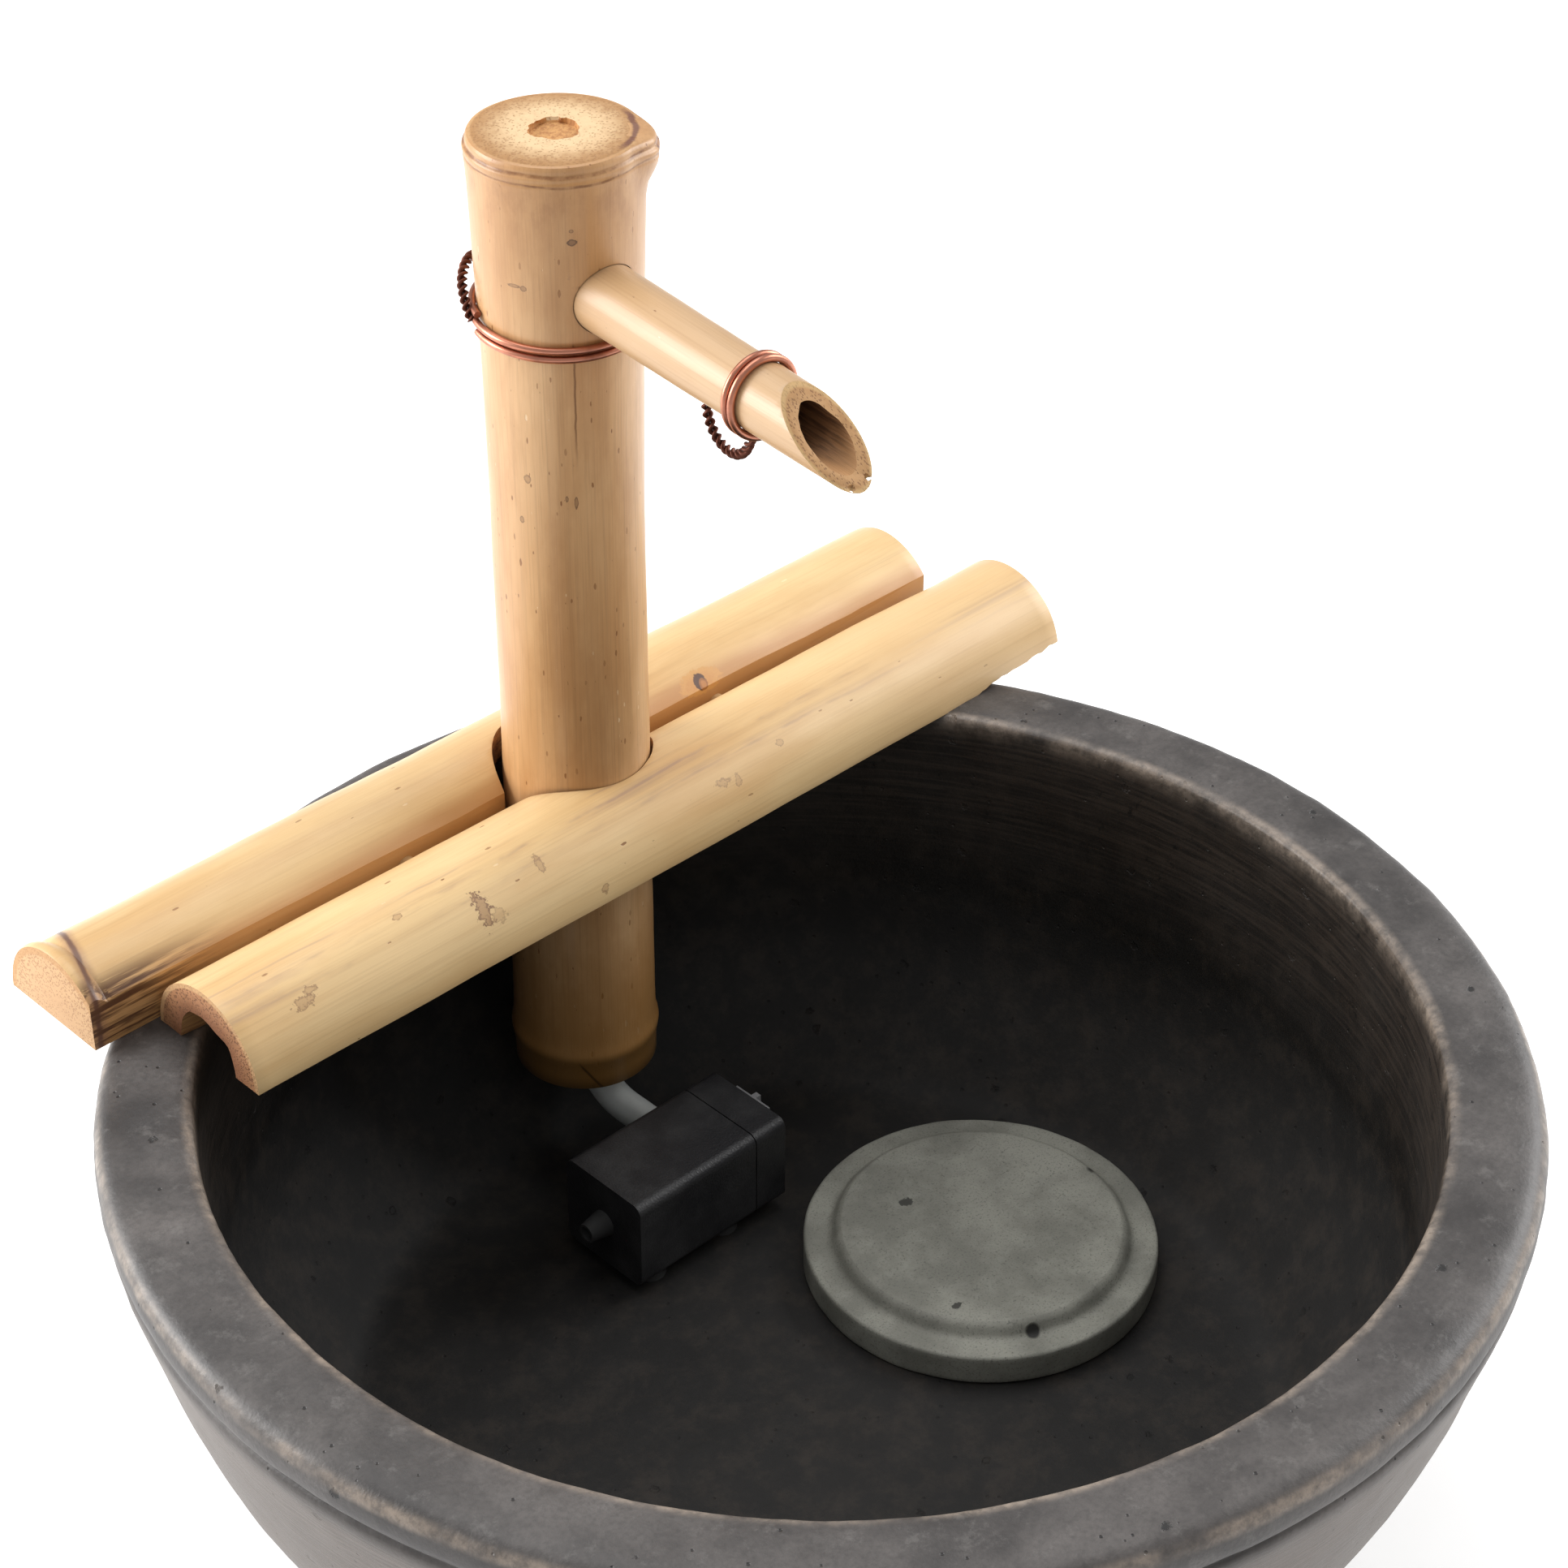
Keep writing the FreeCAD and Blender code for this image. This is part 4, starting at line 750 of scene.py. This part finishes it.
def paint_node(material, *nodes):
    """Gives CAD nodes a material in place of their own."""
    for name in nodes:
        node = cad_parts[name]
        node.data.materials.clear()
        node.data.materials.append(material)


dowel_finish = plain_finish(
    "dowel_bamboo", lambda spot: noise(stretched(spot, (1, 0.04, 1)), 900), (0.6, 0.4, 0.2),
    (0.4, 0.24, 0.1), relief=(0.4, 0.0003), Roughness=0.6)
paint_node(dowel_finish, "rail_dowels")

# Post: one upright culm, sawn above the node at its top, where it flares and keeps a branch scar.
# It is drilled through for the tube and the spout, and its foot ends below a second, fainter node.

post_rings = [
    (0.021, 0.05), (0.021, 0.0555), (0.0213, 0.0605), (0.0222, 0.064), (0.0215, 0.0665), (0.0211, 0.07),
    (0.0211, 0.082), (0.02105, 0.095), (0.0211, 0.11), (0.021, 0.125), (0.0211, 0.14), (0.0211, 0.155),
    (0.0211, 0.17), (0.021, 0.185), (0.0211, 0.2), (0.0211, 0.215), (0.0211, 0.23), (0.0211, 0.246),
    (0.0211, 0.262), (0.0213, 0.275), (0.0217, 0.29), (0.0221, 0.3055), (0.0225, 0.318), (0.0229, 0.33),
    (0.0232, 0.34), (0.0235, 0.3458), (0.0237, 0.3471), (0.02335, 0.3476), (0.0237, 0.3482),
    (0.0239, 0.3492), (0.0237, 0.3499), (0.0232, 0.3503), (0.023, 0.3507), (0.0231, 0.3514),
    (0.0228, 0.3522), (0.0223, 0.3529), (0.018, 0.35315), (0.0125, 0.3531), (0.0072, 0.353),
]
TOP_CUT = 0.3527
FOOT_CUT = 0.0505
POST_SKIN = 0.0195
POST_HOLLOW = 0.0125
TUBE_HOLE = 0.007
SPOUT_HOLE = 0.00985
SPOUT_HEIGHT = 0.3135
post_origin = (post_place.x, post_place.y, 0)
spout_way = Vector((-0.1045, -0.9945, 0))
spout_side = Vector((0.9945, -0.1045, 0))
spout_root = post_place + Vector((0, 0, SPOUT_HEIGHT))
scar_bearing = math.radians(-44)
scar_way = Vector((math.cos(scar_bearing), math.sin(scar_bearing), 0))
scar_place = post_place + scar_way * 0.0236 + Vector((0, 0, 0.3488))

post = turn_rings("post_culm", 96, post_rings)
subdivide(post, 1)
lay_down(post, ALONG_RAILS, UPRIGHT, post_place)
edit_points(post, lambda point: (point - scar_place).length < 0.0028)
bpy.ops.transform.translate(
    value=scar_way * 0.003 + Vector((0, 0, -0.0008)), use_proportional_edit=True,
    proportional_edit_falloff="SMOOTH", proportional_size=0.01)
roughen(post, "post_waves", 0.05, 0.0008)
for radius, low, high in (
        (POST_HOLLOW, 0.0615, 0.339), (POST_HOLLOW, 0.04, 0.0565), (TUBE_HOLE, 0.05, 0.07)):
    drill(post, "post_bore", (radius, low, high - low, 4, 48), ALONG_RAILS, UPRIGHT, post_place)
drill(post, "spout_hole", (SPOUT_HOLE, 0.004, 0.03, 4, 64), spout_side, spout_way, spout_root)
drill(post, "pith_hole", (0.0064, 0.3516, 0.006, 8, 64), ALONG_RAILS, UPRIGHT, post_place, (0.0032, 0.0034))
smooth_piece(post, 35)


def round_post(bearing, outward, height):
    """The point at a bearing and a distance from the post's axis, at this height."""
    angle = math.radians(bearing)
    return post_place + Vector((math.cos(angle) * outward, math.sin(angle) * outward, height))


def on_post(bearing, height):
    """The point of the post's skin at this bearing and height."""
    for (near, low), (far, high) in zip(post_rings, post_rings[1:]):
        if low <= height <= high:
            reach = near + (far - near) * (height - low) / (high - low)
    return round_post(bearing, reach, height)


def seen_from(bearing):
    """The ways to the right and outward on the post, seen from a bearing."""
    angle = math.radians(bearing)
    return (-math.sin(angle), math.cos(angle), 0), (math.cos(angle), math.sin(angle), 0)


arc_group, given = new_group("branch_scar_arc", ("Arc",), Place=(0, 0, 0))
from_axis = vector_maths("DISTANCE", flattened(given["Place"]), post_origin)[1]
from_axis = from_axis + (noise(given["Place"], 260, 4, 0.6) - 0.5) * 0.0022
scar_edge = post_place + scar_way * 0.023 + Vector((0, 0, 0.3525))
near_scar = 1 - eased(vector_maths("DISTANCE", given["Place"], scar_edge)[1], 0.009, 0.015)
on_top = eased(axes_of(given["Place"])[2], 0.3515, 0.3521)
close_group(arc_group, Arc=thin_line(from_axis, 0.0206, 0.0013) * near_scar * on_top)


def with_arc(colour, spot):
    """The colour with the dark arc along the cut's edge beside the branch scar."""
    arc = put("ShaderNodeGroup", {"Place": spot}, node_tree=arc_group)[0]
    return blended(arc * 0.85, colour, (0.15, 0.055, 0.04))


post_skin, spot, place, colour = bamboo(
    "post_skin", SKIN, UPRIGHT, post_origin, Pale=(0.72, 0.445, 0.22), Honey=(0.55, 0.28, 0.105),
    Streaks=0.15, Flecks=1.7, Grain=1.35)
heights = axes_of(place)[2]
wavy = heights + (noise(place, 60, 4, 0.6) - 0.5) * 0.0022
smudges = eased(noise(stretched(place, (1, 1, 0.6)), 130, 5, 0.65), 0.4, 0.72)
patches = eased(noise(stretched(place, (1, 1, 0.35)), 60, 5, 0.65), 0.42, 0.68)
colour = blended(patches * 0.45, colour, (0.45, 0.22, 0.08))
colour = blended(eased(heights, 0.285, 0.335) * 0.25, colour, (0.44, 0.22, 0.085))
below_ridge = eased(heights, 0.322, 0.344) * smudges
colour = blended(below_ridge * 0.55, colour, (0.36, 0.165, 0.06))
uneven = eased(noise(place, 150, 5, 0.7), 0.36, 0.6)
for line, width in ((0.3476, 0.0005), (0.3503, 0.0007)):
    near = 1 - eased(abs(wavy - line), 0.0001, width)
    colour = blended(near * (uneven * 0.6 + 0.25), colour, (0.2, 0.07, 0.015))
colour = scar_or_shade_marked(colour, spot, scar_place + scar_way * 0.0026, (0.0034, 0.0034, 0.0024), 0.5, (0.4, 0.2, 0.1),
                 (0.13, 0.055, 0.045), 0.8)
for bearing, height, wide, tall, strength in (
        (-121.5, 0.332, 0.0013, 0.001, 0.85), (-122, 0.3352, 0.0007, 0.0006, 0.5),
        (-161.7, 0.3185, 0.002, 0.0006, 0.5), (-155, 0.3182, 0.001, 0.0008, 0.5),
        (-159.6, 0.261, 0.0013, 0.0014, 0.4), (-123.9, 0.2546, 0.0006, 0.0019, 0.6),
        (-130.5, 0.256, 0.0005, 0.001, 0.6), (-166, 0.2478, 0.0008, 0.0012, 0.5)):
    colour = scar_or_shade_marked(colour, spot, on_post(bearing, height), (wide, wide, tall), 0.5, (0.24, 0.12, 0.05),
                     (0.12, 0.055, 0.025), strength)

rightward, frontward = measured(spot, post_origin, *seen_from(-122.5))
drift = (noise(place, 160, 4) - 0.5) * 0.0009
check = thin_line(rightward + drift, 0, 0.0004) * (frontward > 0.01)
check = check * eased(heights, 0.262, 0.28) * (1 - eased(heights, 0.3015, 0.303))
colour = blended(check * 0.8, colour, (0.2, 0.08, 0.025))
# Painted shade: a dark ring in the seam round the spout's root.
colour = scar_or_shade_marked(colour, spot, spout_root + spout_way * 0.0212, (0.0104, 0.0104, 0.0104), 0.03,
                 (0.1, 0.045, 0.025), (0.1, 0.045, 0.025))
damp = 1 - eased(heights + smudges * 0.012, 0.066, 0.13)
colour = blended(damp * 0.75, colour, (0.34, 0.155, 0.03))
foot = 1 - eased(wavy, 0.062, 0.066)
colour = blended(foot * 0.7, colour, (0.15, 0.075, 0.018))
rim_of_foot = 1 - eased(wavy, 0.0505, 0.058)
colour = blended(rim_of_foot * 0.85, colour, (0.03, 0.016, 0.005))
rightward, frontward = measured(spot, post_origin, *seen_from(-134))
crack = thin_line(wavy + rightward * 1.5, 0.0615, 0.0011) * (frontward > 0.01)
crack = crack * eased(rightward, -0.0015, 0.0005)
colour = blended(crack * 0.75, colour, (0.03, 0.014, 0.006))
feed(post_skin, Base_Color=with_arc(colour, spot))
post_top, spot, place, colour = bamboo(
    "post_top_cut", END, UPRIGHT, post_origin, Inner=(0.76, 0.54, 0.31), Outer=(0.42, 0.22, 0.085),
    Dots=(0.36, 0.18, 0.07), Rind=(0.6, 0.36, 0.17), Hollow=0.009, Girth=0.0225)
feed(post_top, Base_Color=with_arc(colour, spot))
post_pith, *_ = bamboo(
    "pith_fibres", SPLIT, UPRIGHT, post_origin, Tone=(0.66, 0.35, 0.13), Shade=(0.45, 0.2, 0.07))


def post_face(face):
    """0 for the skin, 1 for a sawn end, 2 for the pith, the bore and the spout's hole."""
    on_cut = face.center.z > TOP_CUT and face.normal.z > 0.5
    under_foot = face.center.z < FOOT_CUT and face.normal.z < -0.5
    if on_cut or under_foot:
        return 1
    off_axis = math.hypot(face.center.x - post_place.x, face.center.y - post_place.y)
    return 2 if off_axis < POST_SKIN else 0


give_finishes(post, [post_skin, post_top, post_pith], post_face)
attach(post, "post")
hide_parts("post")

# Spout: a thin culm let into the post and cut on a long slant, so that its lower lip reaches furthest.
# The cut shows the thick wall's dotted grain, and the lip is chipped where the water has worn it.

SPOUT_RADIUS = 0.0097
SPOUT_BORE = 0.0058
SPOUT_TAPER = 0.093
SPOUT_SKIN = 0.0066
SPOUT_START = 0.012
SPOUT_LENGTH = 0.1142
SPOUT_ROUNDS = 44
spout = turned_culm("spout_culm", SPOUT_RADIUS, SPOUT_START, SPOUT_LENGTH, SPOUT_ROUNDS, 64)
for step in range(SPOUT_ROUNDS + 1):
    level = SPOUT_START + SPOUT_LENGTH * step / SPOUT_ROUNDS
    narrowed = 1 - SPOUT_TAPER * step / SPOUT_ROUNDS
    edit_points(spout, lambda point: abs(point.z - level) < 0.0003)
    bpy.ops.transform.resize(value=(narrowed, narrowed, 1))
roughen(spout, "spout_waves", 0.03, 0.0005)
slant = math.radians(57.5)
saw(spout, (0, -0.0088, SPOUT_START + SPOUT_LENGTH), (0, math.sin(slant), math.cos(slant)))
drill(spout, "spout_bore", (SPOUT_BORE, 0, 0.14, 60, 40), ALONG_RAILS, UPRIGHT, (0, 0, 0), (0.006, 0.0009))
for place in ((0.0016, -0.0093, 0.1262), (-0.0022, -0.0076, 0.1246), (0.0036, -0.007, 0.1236)):
    start_fresh()
    bpy.ops.mesh.primitive_ico_sphere_add(subdivisions=4, radius=0.001, location=place)
    chip = bpy.context.object
    bpy.ops.object.transform_apply()
    roughen(chip, "lip_chip", 0.0012, 0.0014)
    carve(spout, chip)
ease_edges(spout, 0.00035, 2, 45)
lay_down(spout, spout_side, spout_way, spout_root)
smooth_piece(spout, 40)

spout_skin, *_ = bamboo(
    "spout_skin", SKIN, spout_way, spout_root, Pale=(0.6, 0.4, 0.225), Honey=(0.5, 0.295, 0.135), Warmth=0.55,
    Streaks=0.1, Flecks=0.5)
spout_end, *_ = bamboo(
    "spout_cut", END, spout_way, spout_root, Inner=(0.5, 0.28, 0.12), Outer=(0.45, 0.24, 0.095),
    Dots=(0.17, 0.07, 0.025), Rind=(0.6, 0.4, 0.18), Hollow=0.0055, Girth=0.0091, Fineness=1700)
spout_inside, _, place, colour = bamboo(
    "spout_bore_wall", SPLIT, spout_way, spout_root, Tone=(0.27, 0.13, 0.055), Shade=(0.09, 0.04, 0.018))
by_lip = eased(axes_of(place)[2], 0.104, 0.122)
feed(spout_inside, Base_Color=blended(by_lip * 0.75, colour, (0.5, 0.26, 0.1)))
cut_way = spout_way * math.cos(slant) + Vector((0, 0, math.sin(slant)))


def spout_face(face):
    """0 for the skin, 1 for the cut, 2 for the bore."""
    if face.normal.dot(cut_way) > 0.93:
        return 1
    from_root = face.center - spout_root
    off_axis = (from_root - spout_way * from_root.dot(spout_way)).length
    if off_axis < SPOUT_SKIN:
        return 2
    return 1 if face.normal.dot(spout_way) > 0.35 else 0


give_finishes(spout, [spout_skin, spout_end, spout_inside], spout_face)
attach(spout, "post")
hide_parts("spout")

# Copper ties: bare copper wire wound twice round each culm; the two ends are twisted together into a tail.
# The post's tail stands up beside the post and the spout's tail hangs below the spout in a loop.

copper_group, given = new_group("darkened_copper", ("Color", "Roughness"), Place=(0, 0, 0), Patina=0.4)
cover = eased(noise(given["Place"], 120, 4, 0.55) + given["Patina"] - 0.5, 0.3, 0.8)
close_group(copper_group, Color=blended(cover, (0.56, 0.235, 0.155), (0.13, 0.05, 0.035)),
            Roughness=cover * 0.22 + 0.33)


def copper_wire(name, patina):
    """Copper wire, darker with more patina."""
    material, spot = new_finish(name, Metallic=1)
    colour, roughness = put("ShaderNodeGroup", {"Place": spot, "Patina": patina}, node_tree=copper_group)
    feed(material, Base_Color=colour, Roughness=roughness)
    return material


paint_node(copper_wire("tie_copper", 0.38), "post_tie", "spout_tie")
twisted_copper = copper_wire("tail_copper", 0.8)
STRAND_RADIUS = 0.00072
TAIL_TURNS = 8
STEPS_IN_TURN = 20


def twisted_tail(name, points):
    """Two strands twisted together and bent along a smooth line through the points."""
    start_fresh()
    bpy.ops.curve.primitive_nurbs_path_add(location=(0, 0, 0))
    line = bpy.context.object
    spline = line.data.splines[0]
    spline.points.add(len(points) - len(spline.points))
    for point, place in zip(spline.points, points):
        point.co = (*place, 1)
    spline.order_u = 3
    spline.use_endpoint_u = True
    line.data.resolution_u = 24
    length = spline.calc_length()
    tail = start_ring(name, 10, STRAND_RADIUS, (STRAND_RADIUS, 0, 0))
    bpy.ops.mesh.duplicate_move(TRANSFORM_OT_translate={"value": (-2 * STRAND_RADIUS, 0, 0)})
    apply_modifier(tail, "SCREW", axis="Z", angle=math.tau * TAIL_TURNS, screw_offset=length,
                   steps=TAIL_TURNS * STEPS_IN_TURN, use_normal_calculate=True)
    edit(tail)
    close_ends()
    apply_modifier(tail, "CURVE", object=line, deform_axis="POS_Z")
    bpy.data.objects.remove(line)
    smooth_piece(tail, 60)
    tail.data.materials.append(twisted_copper)
    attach(tail, "post")
    return tail


def below_spout(along, height):
    """The point this far along the spout's axis from its root, and this far above the axis."""
    return spout_root + spout_way * along + Vector((0, 0, height))


post_tail = twisted_tail("post_tie_twist", [round_post(*point) for point in (
    (155, 0.0241, 0.302), (152, 0.0247, 0.3044), (147, 0.0253, 0.3074), (141, 0.0256, 0.3102),
    (133, 0.0253, 0.3124), (124, 0.0248, 0.3136), (116, 0.0244, 0.3132), (110, 0.0243, 0.3114),
    (107, 0.0243, 0.3086), (105, 0.0241, 0.3052))])
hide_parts("post_tie_tail")
spout_tail = twisted_tail("spout_tie_twist", [below_spout(*point) for point in (
    (0.0842, -0.0098), (0.083, -0.0122), (0.0812, -0.0165), (0.0792, -0.0195), (0.0755, -0.0216),
    (0.071, -0.0215), (0.067, -0.0195), (0.0645, -0.016), (0.0635, -0.0125), (0.0637, -0.0104))])
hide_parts("spout_tie_tail")

# Supply tube: a clear hose from the pump's nozzle, bent up into the post's foot and pushed into the joiner.

TUBE_RADIUS = 0.005
TUBE_BORE = 0.0035
TUBE_BEND = 0.018
TUBE_HEIGHT = 0.039
hose = start_ring("supply_hose", 32, TUBE_RADIUS, (post_place.x, 0.094, TUBE_HEIGHT),
                  (math.radians(90), 0, 0))
for step in range(2):
    extrude(0, 0.008, 0)
bpy.ops.mesh.spin(
    steps=14, angle=math.radians(-90), center=(post_place.x, 0.11, TUBE_HEIGHT + TUBE_BEND), axis=(1, 0, 0))
for step in range(4):
    extrude(0, 0, 0.004)
bpy.ops.mesh.select_all(action="SELECT")
bpy.ops.mesh.remove_doubles(threshold=0.00001)
bpy.ops.mesh.normals_make_consistent(inside=False)
apply_modifier(hose, "SOLIDIFY", thickness=TUBE_RADIUS - TUBE_BORE, offset=-1)
smooth_piece(hose, 40)
clear_tube, spot = new_finish("clear_tube", IOR=1.43)
haze = noise(spot, 90, 4)
feed(clear_tube, Base_Color=blended(haze, (0.7, 0.75, 0.73), (0.82, 0.84, 0.82)), Alpha=haze * 0.25 + 0.5,
     Roughness=haze * 0.2 + 0.12)
hose.data.materials.append(clear_tube)
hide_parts("supply_tube")
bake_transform(hose)

# Water line in the post: the joiner, the riser, an elbow behind the spout and the sleeve in the spout's bore.
# The joiner and the elbow are moulded in black plastic and the riser and the sleeve are clear tube.

moulded_black, spot = new_finish("moulded_black", Specular_IOR_Level=0.45)
leather, _ = cells(spot, 1400)
dusty = noise(spot, 55, 5, 0.6)
feed(moulded_black, Base_Color=blended(eased(dusty, 0.4, 0.75), (0.018, 0.018, 0.02), (0.04, 0.04, 0.041)),
     Roughness=dusty * 0.25 + 0.32, bump=(leather, 0.25, 0.0003))
paint_node(clear_tube, "riser_tube", "spout_sleeve")
paint_node(moulded_black, "tube_joiner", "tube_elbow")

# Pump: a potted motor with a square black housing, a volute with its nozzle and a slotted strainer in front.
# The strainer snaps on, and a small slider on it throttles the flow; four suction cups hold it to the floor.

slider_grey = plain_finish(
    "slider_grey", lambda spot: noise(stretched(spot, (1, 0.2, 1)), 500, 4, 0.6), (0.2, 0.2, 0.21),
    (0.28, 0.28, 0.285), roughness=(0.3, 0.3))
soft_rubber = plain_finish(
    "soft_rubber", lambda spot: noise(spot, 140, 5, 0.65), (0.02, 0.02, 0.02), (0.05, 0.05, 0.05),
    roughness=(0.6, 0.2), Specular_IOR_Level=0.3)
paint_node(moulded_black, "pump_housing", "pump_rear_cap", "pump_volute", "outlet_nozzle", "strainer",
           "impeller")
paint_node(slider_grey, "flow_slider")
paint_node(soft_rubber, "suction_cups", "cable_gland", "shaft_bushes")

# Motor inside the housing: a core of stacked steel sheets with two coils of enamelled copper wire.
# A sintered ferrite rotor turns between its poles on a ceramic shaft, which is held in two rubber bushes.

def stripes(spot, way, scale, distortion=0):
    """Bands across one axis."""
    sockets = {"Vector": spot, "Scale": scale, "Distortion": distortion}
    return put("ShaderNodeTexWave", sockets, bands_direction=way)[1]


core_steel = plain_finish(
    "core_steel", lambda spot: stripes(spot, "Z", 300, 0.3), (0.3, 0.3, 0.31), (0.5, 0.5, 0.52),
    roughness=(0.3, 0.2), relief=(0.4, 0.0002), Metallic=1)
coil_copper = plain_finish(
    "coil_copper", lambda spot: stripes(spot, "X", 700), (0.28, 0.1, 0.05), (0.62, 0.27, 0.13),
    relief=(0.6, 0.0003), Metallic=1, Roughness=0.3)
ferrite = plain_finish(
    "ferrite", lambda spot: noise(spot, 900, 4, 0.7), (0.03, 0.03, 0.033), (0.075, 0.075, 0.08),
    roughness=(0.35, 0.3), Specular_IOR_Level=0.4)
white_ceramic = plain_finish(
    "white_ceramic", lambda spot: noise(spot, 240), (0.86, 0.85, 0.82), (0.92, 0.91, 0.89),
    roughness=(0.12, 0.1), Coat_Weight=0.3)
paint_node(core_steel, "stator_core")
paint_node(coil_copper, "stator_coils")
paint_node(ferrite, "rotor_magnet")
paint_node(white_ceramic, "rotor_shaft")

start_fresh()
